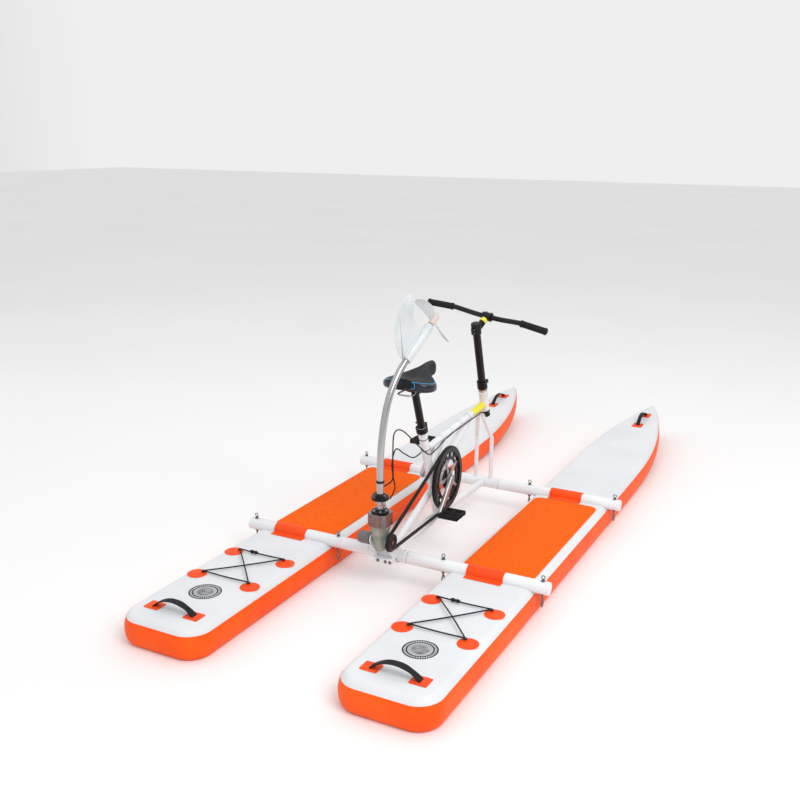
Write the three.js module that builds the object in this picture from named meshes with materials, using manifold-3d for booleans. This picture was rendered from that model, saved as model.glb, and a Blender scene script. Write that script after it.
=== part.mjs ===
import * as THREE from 'three';
import { mergeVertices } from 'three/addons/utils/BufferGeometryUtils.js';
import Module from 'manifold-3d';

// Pontoon water bike: two inflatable boards, two cross bars and a pedal frame.
// A raised propeller leg stands on a tilting gearbox behind the saddle.
// Lengths are millimetres, +X starboard, +Y towards the bow, +Z up, ground at zero.
// Lengths named ...Forward are measured from the stern end of the boards.

const touchGap = 0.3;
const slideGap = 0.5;
const roundSides = 16;
const smallSides = 10;
const cordSides = 8;

const hullLength = 3265;
const hullCentre = 420;
const hullHalfWidth = 176;
const hullHeight = 110.5;
const hullMiddleHeight = 48;
const deckEdgeInset = 36;
const keelEdgeInset = 22;
const sternCornerRadius = 90;
const taperForward = 2312;
const taperShape = 2.1;
const taperEndShape = 0.9;
const bowRiseForward = 1912;
const bowRise = 70;
const cornerSteps = 5;
const straightSteps = 4;
const taperSteps = 12;
const wallSteps = 8;

const barRadius = 24;
const barInnerRadius = 21;
const barHalfSpan = 640;
const barAxisHeight = 116.8;
const rearBarForward = 852.4;
const frontBarForward = 1761;
const stubHalfLength = 78;
const spigotLength = 60;
const spigotRadius = 20.7;
const barEndWall = 4;

const padHalfWidth = 140;
const padRearForward = 906;
const padFrontForward = 1700;
const padThickness = 4;
const padFrontCorner = 35;
const padRearCorner = 12;

const sleeveWidth = 143.6;
const sleeveShift = 20;
const sleeveThickness = 3;
const sleeveRearFlap = 24;
const sleeveFrontFlap = 10;
const sleeveSteps = 14;
const arcSteps = 9;

const handleSternForward = 108.8;
const handleBowInset = 292;
const handleBowForward = hullLength - handleBowInset;
const handleHalfSpan = 83;
const handleRise = 38;
const handlePatchLength = 60;
const handlePatchWidth = 52;
const patchThickness = 2;
const strapWidth = 26;
const strapThickness = 5;
const strapSteps = 10;
const strapShape = 3;

const netHalfWidth = 100;
const netRearForward = 388.8;
const netFrontForward = 609.7;
const netCordRadius = 2.6;
const netCordHeight = 9.5;
const netCrossRise = 6;
const netPatchRadius = 31;
const netPatchShift = 20;
const netTabLength = 12;
const netTabHeight = 12;
const cordLockLength = 34;
const cordLockRadius = 6.5;

const valveForward = 272.5;
const valveFlangeRadius = 28.5;
const valveFlangeThickness = 2.5;
const valveWellRadius = 23;
const valveWellDepth = 26;
const valveCupRadius = 19;
const valveFloor = 3;
const capRadius = 18.4;
const capThickness = 7;
const capGripLength = 30;
const capGripWidth = 6;
const capGripHeight = 5;

const pinOffset = 194;
const pinRadius = 3.4;
const pinHoleRadius = 4.2;
const pinRingRadius = 8;
const pinWireRadius = 2.2;
const pinRingRise = 9;
const pinHookDrop = 42;
const pinHookRadius = 10;
const ringSteps = 8;
const wireSides = 4;

const headLowForward = 1753.7;
const headLowHeight = 468.2;
const headHighForward = 1633.2;
const headHighHeight = 845.7;
const headTubeRadius = 20;
const headTubeLow = -6;
const headTubeHigh = 92;
const steererRadius = 16;
const steererBore = 13.2;
const headBore = steererRadius + slideGap;

const seatLowForward = 1275.1;
const seatLowHeight = 127.3;
const seatHighForward = 1062.5;
const seatHighHeight = 680.8;
const seatTubeRadius = 18;
const seatBore = 15.9;
const seatTubeTop = 454;
const seatBoreLow = 180;

const mainTubeRadius = 14;
const mainHeadForward = 1746;
const mainHeadHeight = 489.3;
const mainSeatForward = 1160;
const mainSeatHeight = 445.1;
const gussetRadius = 17;
const gussetShare = 0.3;
const downTubeRadius = 16.5;
const downHighForward = 1585;
const downHighHeight = 477;
const crankForward = 1265;
const crankHeight = 298;
const downTailShare = 1.16;
const braceRadius = 7;
const braceHighForward = 1342;
const braceHighHeight = 458;
const braceLowForward = 1192;
const braceLowHeight = 325;
const bottomTubeRadius = 17;
const sternStayRadius = 14;
const sternStayForward = 1199;
const sternStayHeight = 252;
const thinStayRadius = 7;
const thinStayFrontForward = 1274;
const thinStayFrontHeight = 128;
const thinStayFrontHalf = 10;
const thinStayRearHalf = 52;
const thinStayRearHeight = 122;
const frontLegRadius = 9;
const frontLegHalf = 36;
const frontLegShoulder = 330;
const frontLegTopForward = 1697;
const frontLegTopHeight = 466;
const frontLegTopHalf = 8;
const crankShellRadius = 20;
const crankShellHalf = 33;
const crankBore = 10;

const bracketHalfWidth = 41;
const bracketEarInner = 31;
const bracketEarOuter = 36;
const bracketEarRadius = 21;
const bracketRingRadius = 31;
const bracketBlockForward = 812;
const bracketBlockLength = 40;
const bracketBlockHeight = 18;
const bracketBlockLow = 100;

const tiltForward = 778;
const tiltHeight = 199;
const trunnionRadius = 13;
const trunnionPortRadius = 24;
const trunnionPortInner = 38;
const trunnionPortOuter = 87;
const trunnionStarboard = 36.5;
const housingHighRadius = 39.5;
const housingLowRadius = 16;
const housingSides = 8;
const housingLow = 160;
const housingHigh = 262;
const capBlockHalf = 38;
const capBlockHigh = 312;
const capBlockBevel = 12;
const inputShaftRadius = 6;
const inputShaftDepth = 30;
const legSocketDepth = 34;
const flangeRadius = 33;
const flangeThickness = 7;
const boltCircleRadius = 26;
const boltRadius = 3.5;
const boltHeight = 12;
const boltCount = 6;

const legRadius = 13;
const legYaw = THREE.MathUtils.degToRad(10);
const legStraightTop = 480;
const legFirstRadius = 700;
const legFirstTurn = THREE.MathUtils.degToRad(17.5);
const legSecondRadius = 334;
const legSecondTurn = THREE.MathUtils.degToRad(35.5);
const legEndLength = 110;
const legFirstSteps = 5;
const legSecondSteps = 7;
const collarHeight = 362;
const collarRadius = 33;
const collarThickness = 11;
const collarHubRadius = 19;
const collarHubHeight = 22;
const bandHeight = 426;
const bandRadius = 16;
const bandThickness = 8;

const sleeveTubeRadius = 18;
const sleeveTubeLength = 179;
const sleeveTubeWall = 10;
const sleeveTubeBore = 13.4;
const propShaftRadius = 5;
const propGap = 9;
const propHubRadius = 13;
const propHubLength = 42;
const propNoseLength = 16;
const bladeLength = 112;
const bladeWideHalf = 21;
const bladeThickness = 4;
const bladePitch = THREE.MathUtils.degToRad(28);
const bladeRest = THREE.MathUtils.degToRad(7.8);
const bladeLeadShares = [
  [0, 0.43],
  [0.45, 1],
  [0.75, 0.9],
  [0.97, 0.43],
];
const bladeTrailShares = [
  [1, 0],
  [0.97, 0.43],
  [0.75, 1],
  [0.45, 0.9],
  [0, 0.43],
];

const finThickness = 6;
const finSize = 176;
const finOutlineShares = [
  [-0.08, 0],
  [-0.1, 0.18],
  [-0.06, 0.385],
  [0.1, 0.66],
  [0.33, 0.86],
  [0.6, 0.985],
  [0.81, 0.985],
  [0.95, 0.91],
  [0.955, 0.77],
  [0.78, 0.53],
  [0.7, 0.28],
  [0.693, 0],
];
const finCurveSteps = 30;

const steerAngle = THREE.MathUtils.degToRad(-15);
const steerPulleyRadius = 22;
const steerPulleyLow = -36;
const steerPulleyHigh = -8;
const steererTop = 142;
const clampLow = 106;
const clampRadius = 23;
const clampEarReach = 27;
const clampEarHalf = 9;
const clampSlot = 3;
const leverLength = 44;
const leverWidth = 13;
const leverThickness = 5;
const leverBossRadius = 7;
const postRadius = 17;
const postShoulder = 143;
const postTop = 410;
const quillLow = 20;
const quillRadius = 12.7;
const stemForward = 82;
const stemRise = 13;
const stemRadius = 13;
const stemClampRadius = 21;
const stemClampLow = 378;
const barClampRadius = 19;
const barClampHalf = 22;
const handlebarRadius = 11;
const handlebarHalf = 312;
const handlebarBendHalf = 70;
const handlebarSweep = 14;
const handlebarLift = 10;
const handlebarAcrossShares = [-1, -0.6, -0.25, 0.25, 0.6, 1];
const gripRadius = 15.5;
const gripLength = 128;
const gripEnd = 4;

const seatClampLow = 430;
const seatClampHigh = 453;
const seatClampRadius = 24;
const seatPostRadius = 15.4;
const seatPostLow = 270;
const seatPostHigh = 627;
const seatHeadRadius = 20;
const seatHeadHalf = 24;
const railRadius = 3.5;
const railHalf = 22;
const railLength = 130;
const saddleRearForward = 952;
const saddleLength = 250;
const saddleHalfWidth = 107;
const saddleNoseHalf = 26;
const saddleTop = 800;
const saddleThickness = 50;
const saddleDip = 6;
const saddleTailDrop = 24;
const saddleCrown = 4;
const saddleTailShare = 0.22;
const saddleFlareStartShare = 0.25;
const saddleFlareEndShare = 0.72;
const saddleTipShare = 0.12;
const saddleTailWidthShare = 0.45;
const saddleTipWidthShare = 0.4;
const saddleTailDepthShare = 0.5;
const saddleTipDepthShare = 0.55;
const saddleSectionShape = 0.8;
const saddleSteps = 14;
const saddleSides = 16;

const wheelInner = 38;
const wheelOuter = 54;
const wheelGrooveRadius = 126.4;
const wheelFlangeRadius = 130;
const wheelFlangeThickness = 2;
const wheelRimDepth = 18;
const wheelHubRadius = 26;
const wheelPlateHalf = 2.5;
const wheelWindowCount = 5;
const wheelWindowShare = 0.62;
const wheelSides = 28;
const beltGap = 0.4;
const beltThickness = 6;
const beltWidth = 11;
const beltPulleyGroove = 28.4;
const beltPulleyFlange = 33;
const spindleRadius = 9;
const spindleHalf = 74;
const crankLength = 151;
const crankAngle = THREE.MathUtils.degToRad(43.6);
const crankInner = 59;
const crankThickness = 13;
const crankBossRadius = 17;
const crankEndRadius = 12;
const pedalWidth = 84;
const pedalLength = 86;
const pedalThickness = 20;
const pedalGap = 3;
const pedalAxleRadius = 5;
const pedalWindowShare = 0.3;
const pedalWindowReachShare = 0.24;

const cableRadius = 2.5;
const cableSteps = 36;

const halfLength = hullLength / 2;
const sternPoint = (x, forward, height) => new THREE.Vector3(x, forward - halfLength, height);
const up = new THREE.Vector3(0, 0, 1);
const side = new THREE.Vector3(1, 0, 0);

const wasm = await Module();
wasm.setup();

const group = new THREE.Group();
group.name = 'pontoon_water_bike';

function toSolid(geometry) {
  const clean = geometry.clone();
  clean.deleteAttribute('normal');
  clean.deleteAttribute('uv');
  const merged = mergeVertices(clean);
  const mesh = new wasm.Mesh({
    numProp: 3,
    vertProperties: new Float32Array(merged.attributes.position.array),
    triVerts: new Uint32Array(merged.index.array),
  });
  return new wasm.Manifold(mesh);
}

function toGeometry(solid) {
  const mesh = solid.getMesh();
  const geometry = new THREE.BufferGeometry();
  geometry.setAttribute('position', new THREE.BufferAttribute(mesh.vertProperties, mesh.numProp));
  geometry.setIndex(new THREE.BufferAttribute(mesh.triVerts, 1));
  geometry.computeVertexNormals();
  return geometry;
}

function join(geometries) {
  const solids = geometries.map(toSolid);
  return solids.reduce((sum, solid) => sum.add(solid));
}

function shape(added, removed = []) {
  let solid = join(added);
  for (const cutter of removed) {
    solid = solid.subtract(toSolid(cutter));
  }
  return toGeometry(solid);
}

function addPiece(name, geometry, colour, roughness, metalness = 0) {
  const material = new THREE.MeshStandardMaterial({ color: colour, roughness, metalness });
  const mesh = new THREE.Mesh(geometry, material);
  mesh.name = name;
  group.add(mesh);
  return mesh;
}

function rod(start, end, radius, sides = roundSides, endRadius = radius) {
  const along = end.clone().sub(start);
  const geometry = new THREE.CylinderGeometry(endRadius, radius, along.length(), sides);
  const turn = new THREE.Quaternion().setFromUnitVectors(
    new THREE.Vector3(0, 1, 0),
    along.clone().normalize(),
  );
  geometry.applyQuaternion(turn);
  const middle = start.clone().add(end).multiplyScalar(1 / 2);
  geometry.translate(middle.x, middle.y, middle.z);
  return geometry;
}

function box(width, depth, height, centre) {
  const geometry = new THREE.BoxGeometry(width, depth, height);
  geometry.translate(centre.x, centre.y, centre.z);
  return geometry;
}

function lathe(points, sides = roundSides) {
  const profile = points.map(([radius, height]) => new THREE.Vector2(radius, height));
  const geometry = new THREE.LatheGeometry(profile, sides);
  geometry.rotateX(Math.PI / 2);
  return geometry;
}

function outline(points) {
  const flat = new THREE.Shape();
  points.forEach(([first, second], index) => {
    if (index === 0) flat.moveTo(first, second);
    else flat.lineTo(first, second);
  });
  flat.closePath();
  return flat;
}

function extrude(flat, depth) {
  const geometry = new THREE.ExtrudeGeometry(flat, { depth, bevelEnabled: false, steps: 1 });
  geometry.translate(0, 0, -depth / 2);
  return geometry;
}

// Turns a flat shape drawn in (forward, height) so that it is extruded across the bike.
function acrossBike(geometry) {
  geometry.rotateX(Math.PI / 2);
  geometry.rotateZ(Math.PI / 2);
  return geometry;
}

function sweep(points, radius, steps, sides) {
  const curve = new THREE.CatmullRomCurve3(points);
  const ring = new THREE.Shape();
  for (let index = 0; index < sides; index += 1) {
    const angle = (index / sides) * Math.PI * 2;
    if (index === 0) ring.moveTo(radius * Math.cos(angle), radius * Math.sin(angle));
    else ring.lineTo(radius * Math.cos(angle), radius * Math.sin(angle));
  }
  ring.closePath();
  return new THREE.ExtrudeGeometry(ring, { steps, bevelEnabled: false, extrudePath: curve });
}

function torus(radius, wire, centre, turn) {
  const geometry = new THREE.TorusGeometry(radius, wire, wireSides, ringSteps);
  geometry.applyMatrix4(turn);
  geometry.translate(centre.x, centre.y, centre.z);
  return geometry;
}

function riseAt(forward) {
  const share = Math.max(0, (forward - bowRiseForward) / (hullLength - bowRiseForward));
  return bowRise * share * share;
}

// One point of the board outline, drawn in by an inset all round.
function outlinePoint(index, inset) {
  const corner = sternCornerRadius - inset;
  if (index <= cornerSteps) {
    const angle = (index / cornerSteps) * Math.PI / 2;
    const x = hullHalfWidth - sternCornerRadius + corner * Math.sin(angle);
    return [x, inset + corner * (1 - Math.cos(angle))];
  }
  const straight = index - cornerSteps;
  if (straight <= straightSteps) {
    const share = (straight - 1) / (straightSteps - 1);
    return [hullHalfWidth - inset, bowRiseForward + (taperForward - bowRiseForward) * share];
  }
  const share = Math.sin(((straight - straightSteps) / taperSteps) * Math.PI / 2);
  const width = (1 - share ** taperShape) ** taperEndShape;
  const y = taperForward + (hullLength - inset - taperForward) * share;
  return [(hullHalfWidth - inset) * Math.max(0, width), y];
}

function boardGeometry() {
  const last = cornerSteps + straightSteps + taperSteps;
  const positions = [];
  const faces = [];
  const around = 2 * last + 1;
  for (let level = 0; level <= wallSteps; level += 1) {
    const angle = (level / wallSteps - 1 / 2) * Math.PI;
    const lower = angle < 0;
    const inset = (lower ? keelEdgeInset : deckEdgeInset) * (1 - Math.cos(angle));
    const reach = lower ? hullMiddleHeight : hullHeight - hullMiddleHeight;
    const z = hullMiddleHeight + reach * Math.sin(angle);
    for (let index = 0; index < around; index += 1) {
      const station = index <= last ? index : 2 * last - index;
      const [x, y] = outlinePoint(station, inset);
      const sign = index <= last ? 1 : -1;
      positions.push(sign * x, y - halfLength, z + riseAt(y));
    }
  }
  for (let level = 0; level < wallSteps; level += 1) {
    for (let index = 0; index < around; index += 1) {
      const next = (index + 1) % around;
      const low = level * around;
      const high = low + around;
      faces.push(low + index, low + next, high + next);
      faces.push(low + index, high + next, high + index);
    }
  }
  const top = wallSteps * around;
  for (let station = 0; station < last; station += 1) {
    const right = station;
    const rightNext = station + 1;
    const left = 2 * last - station;
    const leftNext = 2 * last - station - 1;
    faces.push(top + right, top + rightNext, top + left);
    faces.push(right, left, rightNext);
    if (rightNext !== leftNext) {
      faces.push(top + rightNext, top + leftNext, top + left);
      faces.push(rightNext, left, leftNext);
    }
  }
  const geometry = new THREE.BufferGeometry();
  geometry.setAttribute('position', new THREE.Float32BufferAttribute(positions, 3));
  geometry.setIndex(faces);
  return geometry;
}

const barForwards = [rearBarForward, frontBarForward];
const valveDeck = sternPoint(0, valveForward, hullHeight);

function hullGeometry() {
  const cutters = barForwards.map((forward) =>
    rod(
      sternPoint(-hullHalfWidth * 2, forward, barAxisHeight),
      sternPoint(hullHalfWidth * 2, forward, barAxisHeight),
      barRadius + touchGap,
    ),
  );
  const wellLow = valveDeck.clone().addScaledVector(up, -valveWellDepth - touchGap);
  const wellHigh = valveDeck.clone().addScaledVector(up, valveWellDepth);
  cutters.push(rod(wellLow, wellHigh, valveWellRadius + touchGap));
  return shape([boardGeometry()], cutters);
}

function padGeometry() {
  const rear = padRearForward - halfLength;
  const front = padFrontForward - halfLength;
  const flat = new THREE.Shape();
  flat.moveTo(-padHalfWidth + padRearCorner, rear);
  flat.lineTo(padHalfWidth - padRearCorner, rear);
  flat.quadraticCurveTo(padHalfWidth, rear, padHalfWidth, rear + padRearCorner);
  flat.lineTo(padHalfWidth, front - padFrontCorner);
  flat.quadraticCurveTo(padHalfWidth, front, padHalfWidth - padFrontCorner, front);
  flat.lineTo(-padHalfWidth + padFrontCorner, front);
  flat.quadraticCurveTo(-padHalfWidth, front, -padHalfWidth, front - padFrontCorner);
  flat.lineTo(-padHalfWidth, rear + padRearCorner);
  flat.quadraticCurveTo(-padHalfWidth, rear, -padHalfWidth + padRearCorner, rear);
  const geometry = new THREE.ExtrudeGeometry(flat, {
    depth: padThickness,
    bevelEnabled: false,
    curveSegments: 5,
  });
  geometry.translate(0, 0, hullHeight + touchGap);
  return geometry;
}

function barSleeveGeometry(forward) {
  const inner = barRadius + touchGap;
  const outer = inner + sleeveThickness;
  const low = hullHeight + touchGap - barAxisHeight;
  const flapTop = low + sleeveThickness;
  const points = [[-outer - sleeveRearFlap, low], [-outer - sleeveRearFlap, flapTop]];
  const outerStart = Math.asin(flapTop / outer);
  const innerStart = Math.asin(low / inner);
  for (let step = 0; step <= sleeveSteps; step += 1) {
    const angle = Math.PI - outerStart - (Math.PI - 2 * outerStart) * (step / sleeveSteps);
    points.push([outer * Math.cos(angle), outer * Math.sin(angle)]);
  }
  points.push([outer + sleeveFrontFlap, flapTop], [outer + sleeveFrontFlap, low]);
  for (let step = 0; step <= sleeveSteps; step += 1) {
    const angle = innerStart + (Math.PI - 2 * innerStart) * (step / sleeveSteps);
    points.push([inner * Math.cos(angle), inner * Math.sin(angle)]);
  }
  const geometry = acrossBike(extrude(outline(points), sleeveWidth));
  const centre = sternPoint(-sleeveShift, forward, barAxisHeight);
  geometry.translate(centre.x, centre.y, centre.z);
  return geometry;
}

function handleGeometry() {
  const reach = handleHalfSpan + strapThickness;
  const upper = [];
  const lower = [];
  for (let step = 0; step <= strapSteps; step += 1) {
    const across = Math.sin((step / strapSteps - 1 / 2) * Math.PI);
    const lift = 1 - Math.abs(across) ** strapShape;
    const innerReach = reach - strapThickness;
    upper.push([reach * across, patchThickness + (handleRise - patchThickness) * lift]);
    lower.push([innerReach * across, (handleRise - strapThickness) * lift]);
  }
  const strap = extrude(outline([...upper, ...lower.reverse()]), strapWidth);
  strap.rotateX(Math.PI / 2);
  const patches = [-1, 1].map((sign) =>
    box(
      handlePatchLength,
      handlePatchWidth,
      patchThickness,
      new THREE.Vector3(sign * handleHalfSpan, 0, patchThickness / 2),
    ),
  );
  return shape([strap, ...patches]);
}

function netGeometry() {
  const height = hullHeight + touchGap;
  const corners = [
    [-netHalfWidth, netRearForward],
    [netHalfWidth, netRearForward],
    [-netHalfWidth, netFrontForward],
    [netHalfWidth, netFrontForward],
  ];
  const pieces = [];
  const hooks = corners.map(([x, forward]) => sternPoint(x, forward, height + netCordHeight));
  for (const [x, forward] of corners) {
    const outward = Math.sign(x);
    const patchLow = sternPoint(x + outward * netPatchShift, forward, height);
    const patchHigh = patchLow.clone().addScaledVector(up, patchThickness);
    pieces.push(rod(patchLow, patchHigh, netPatchRadius));
    const tabCentre = sternPoint(x, forward, height + netTabHeight / 2);
    pieces.push(box(netTabLength, netTabLength, netTabHeight, tabCentre));
  }
  const runs = [[0, 1], [1, 2], [2, 3], [3, 0]];
  runs.forEach(([from, to], index) => {
    const middle = hooks[from].clone().add(hooks[to]).multiplyScalar(1 / 2);
    if (index === 1) middle.addScaledVector(up, netCrossRise);
    pieces.push(rod(hooks[from], middle, netCordRadius, cordSides));
    pieces.push(rod(middle, hooks[to], netCordRadius, cordSides));
    if (index === 2) {
      const half = side.clone().multiplyScalar(cordLockLength / 2);
      const lockCentre = middle.clone().addScaledVector(side, -cordLockLength);
      const lockStart = lockCentre.clone().sub(half);
      const lockEnd = lockCentre.clone().add(half);
      pieces.push(rod(lockStart, lockEnd, cordLockRadius, cordSides));
    }
  });
  return shape(pieces);
}

function valveBodyGeometry() {
  const geometry = lathe([
    [0, -valveWellDepth],
    [valveWellRadius, -valveWellDepth],
    [valveWellRadius, touchGap],
    [valveFlangeRadius, touchGap],
    [valveFlangeRadius, touchGap + valveFlangeThickness],
    [valveCupRadius, touchGap + valveFlangeThickness],
    [valveCupRadius, valveFloor - valveWellDepth],
    [0, valveFloor - valveWellDepth],
  ]);
  geometry.translate(valveDeck.x, valveDeck.y, valveDeck.z);
  return geometry;
}

function valveCapGeometry() {
  const top = valveDeck.clone().addScaledVector(up, valveFlangeThickness - capGripHeight);
  const low = top.clone().addScaledVector(up, -capThickness);
  const gripCentre = top.clone().addScaledVector(up, capGripHeight / 2 - touchGap);
  return shape([
    rod(low, top, capRadius),
    box(capGripLength, capGripWidth, capGripHeight, gripCentre),
  ]);
}

function pinGeometry(forward, x) {
  const axis = sternPoint(x, forward, barAxisHeight);
  const top = axis.clone().addScaledVector(up, barRadius + pinRingRise);
  const bottom = axis.clone().addScaledVector(up, -pinHookDrop);
  const facing = new THREE.Matrix4().makeRotationX(Math.PI / 2);
  const turned = new THREE.Matrix4().makeRotationY(Math.PI / 2);
  return shape([
    rod(bottom, top, pinRadius, cordSides),
    torus(pinRingRadius, pinWireRadius, top.clone().addScaledVector(up, pinRingRadius), facing),
    torus(pinHookRadius, pinWireRadius, bottom.clone().addScaledVector(up, -pinHookRadius), turned),
  ]);
}

function outerTubeGeometry(forward, sign) {
  const start = sternPoint(sign * (stubHalfLength + touchGap), forward, barAxisHeight);
  const end = sternPoint(sign * barHalfSpan, forward, barAxisHeight);
  const boreEnd = end.clone().addScaledVector(side, -sign * barEndWall);
  const boreStart = start.clone().addScaledVector(side, -sign * barEndWall);
  const cutters = [rod(boreStart, boreEnd, barInnerRadius)];
  for (const pinSign of [-1, 1]) {
    const x = sign * hullCentre + pinSign * pinOffset;
    const low = sternPoint(x, forward, barAxisHeight - barRadius * 2);
    const high = sternPoint(x, forward, barAxisHeight + barRadius * 2);
    cutters.push(rod(low, high, pinHoleRadius, cordSides));
  }
  return shape([rod(start, end, barRadius)], cutters);
}

const headLow = sternPoint(0, headLowForward, headLowHeight);
const headUp = sternPoint(0, headHighForward, headHighHeight).sub(headLow).normalize();
const onHead = (distance) => headLow.clone().addScaledVector(headUp, distance);
const seatLow = sternPoint(0, seatLowForward, seatLowHeight);
const seatUp = sternPoint(0, seatHighForward, seatHighHeight).sub(seatLow).normalize();
const onSeat = (distance) => seatLow.clone().addScaledVector(seatUp, distance);
const crankCentre = sternPoint(0, crankForward, crankHeight);
const tiltCentre = sternPoint(0, tiltForward, tiltHeight);
const beside = (point, x) => new THREE.Vector3(x, point.y, point.z);

function frameGeometry() {
  const mainHead = sternPoint(0, mainHeadForward, mainHeadHeight);
  const mainSeat = sternPoint(0, mainSeatForward, mainSeatHeight);
  const downHigh = sternPoint(0, downHighForward, downHighHeight);
  const downTail = downHigh.clone().lerp(crankCentre, downTailShare);
  const gussetEnd = mainHead.clone().lerp(mainSeat, gussetShare);
  const frontBar = sternPoint(0, frontBarForward, barAxisHeight);
  const rearBar = sternPoint(0, rearBarForward, barAxisHeight);
  const pieces = [
    rod(onHead(headTubeLow), onHead(headTubeHigh), headTubeRadius),
    rod(mainHead, mainSeat, mainTubeRadius, smallSides),
    rod(mainHead, gussetEnd, gussetRadius, smallSides, mainTubeRadius),
    rod(downHigh, downTail, downTubeRadius, smallSides),
    rod(
      sternPoint(0, braceHighForward, braceHighHeight),
      sternPoint(0, braceLowForward, braceLowHeight),
      braceRadius,
      cordSides,
    ),
    rod(seatLow, onSeat(seatTubeTop), seatTubeRadius),
    rod(frontBar, seatLow, bottomTubeRadius, smallSides),
    rod(sternPoint(0, sternStayForward, sternStayHeight), rearBar, sternStayRadius, smallSides),
    rod(beside(crankCentre, -crankShellHalf), beside(crankCentre, crankShellHalf), crankShellRadius),
  ];
  for (const forward of barForwards) {
    const reach = stubHalfLength + spigotLength;
    pieces.push(
      rod(
        sternPoint(-stubHalfLength, forward, barAxisHeight),
        sternPoint(stubHalfLength, forward, barAxisHeight),
        barRadius,
      ),
      rod(
        sternPoint(-reach, forward, barAxisHeight),
        sternPoint(reach, forward, barAxisHeight),
        spigotRadius,
      ),
    );
  }
  for (const sign of [-1, 1]) {
    const foot = sternPoint(sign * frontLegHalf, frontBarForward, barAxisHeight);
    const shoulder = sternPoint(sign * frontLegHalf, frontBarForward, frontLegShoulder);
    const top = sternPoint(sign * frontLegTopHalf, frontLegTopForward, frontLegTopHeight);
    const knee = new THREE.SphereGeometry(frontLegRadius, cordSides, wireSides);
    knee.translate(shoulder.x, shoulder.y, shoulder.z);
    pieces.push(
      rod(foot, shoulder, frontLegRadius, smallSides),
      rod(shoulder, top, frontLegRadius, smallSides),
      knee,
      rod(
        sternPoint(sign * thinStayFrontHalf, thinStayFrontForward, thinStayFrontHeight),
        sternPoint(sign * thinStayRearHalf, rearBarForward, thinStayRearHeight),
        thinStayRadius,
        cordSides,
      ),
    );
  }
  const cutters = [
    rod(onHead(headTubeLow - headTubeRadius), onHead(headTubeHigh + headTubeRadius), headBore),
    rod(onSeat(seatBoreLow), onSeat(seatTubeTop * 2), seatBore),
    rod(
      beside(crankCentre, -crankShellHalf * 2),
      beside(crankCentre, crankShellHalf * 2),
      crankBore,
    ),
  ];
  return shape(pieces, cutters);
}

function capsule(from, to, fromRadius, toRadius) {
  const points = [];
  const heading = Math.atan2(to[1] - from[1], to[0] - from[0]);
  for (let step = 0; step <= arcSteps; step += 1) {
    const angle = heading + Math.PI / 2 + Math.PI * (step / arcSteps);
    points.push([from[0] + fromRadius * Math.cos(angle), from[1] + fromRadius * Math.sin(angle)]);
  }
  for (let step = 0; step <= arcSteps; step += 1) {
    const angle = heading - Math.PI / 2 + Math.PI * (step / arcSteps);
    points.push([to[0] + toRadius * Math.cos(angle), to[1] + toRadius * Math.sin(angle)]);
  }
  return outline(points);
}

function bracketGeometry() {
  const barPoint = [rearBarForward - halfLength, barAxisHeight];
  const tiltPoint = [tiltForward - halfLength, tiltHeight];
  const earWidth = bracketEarOuter - bracketEarInner;
  const pieces = [
    rod(
      sternPoint(-bracketHalfWidth, rearBarForward, barAxisHeight),
      sternPoint(bracketHalfWidth, rearBarForward, barAxisHeight),
      bracketRingRadius,
    ),
    box(
      bracketHalfWidth * 2,
      bracketBlockLength,
      bracketBlockHeight,
      sternPoint(0, bracketBlockForward, bracketBlockLow + bracketBlockHeight / 2),
    ),
  ];
  for (const sign of [-1, 1]) {
    const ear = acrossBike(
      extrude(capsule(tiltPoint, barPoint, bracketEarRadius, bracketRingRadius), earWidth),
    );
    ear.translate(sign * (bracketEarInner + earWidth / 2), 0, 0);
    pieces.push(ear);
  }
  const cutters = [
    rod(
      sternPoint(-bracketHalfWidth * 2, rearBarForward, barAxisHeight),
      sternPoint(bracketHalfWidth * 2, rearBarForward, barAxisHeight),
      barRadius + touchGap,
    ),
    rod(
      beside(tiltCentre, -bracketHalfWidth * 2),
      beside(tiltCentre, bracketHalfWidth * 2),
      trunnionRadius + slideGap,
    ),
  ];
  const stayCut = rod(
    sternPoint(0, sternStayForward, sternStayHeight),
    sternPoint(0, rearBarForward, barAxisHeight),
    sternStayRadius + slideGap,
    smallSides,
  );
  return shape(pieces, [...cutters, stayCut]);
}

// The lower housing has eight sides and narrows downwards.
function taperedHousing(middle) {
  const height = housingHigh - housingLow;
  const taper = new THREE.CylinderGeometry(housingHighRadius, housingLowRadius, height, housingSides);
  taper.rotateY(Math.PI / housingSides);
  taper.rotateX(Math.PI / 2);
  taper.translate(middle.x, middle.y, middle.z);
  return taper;
}

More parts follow.
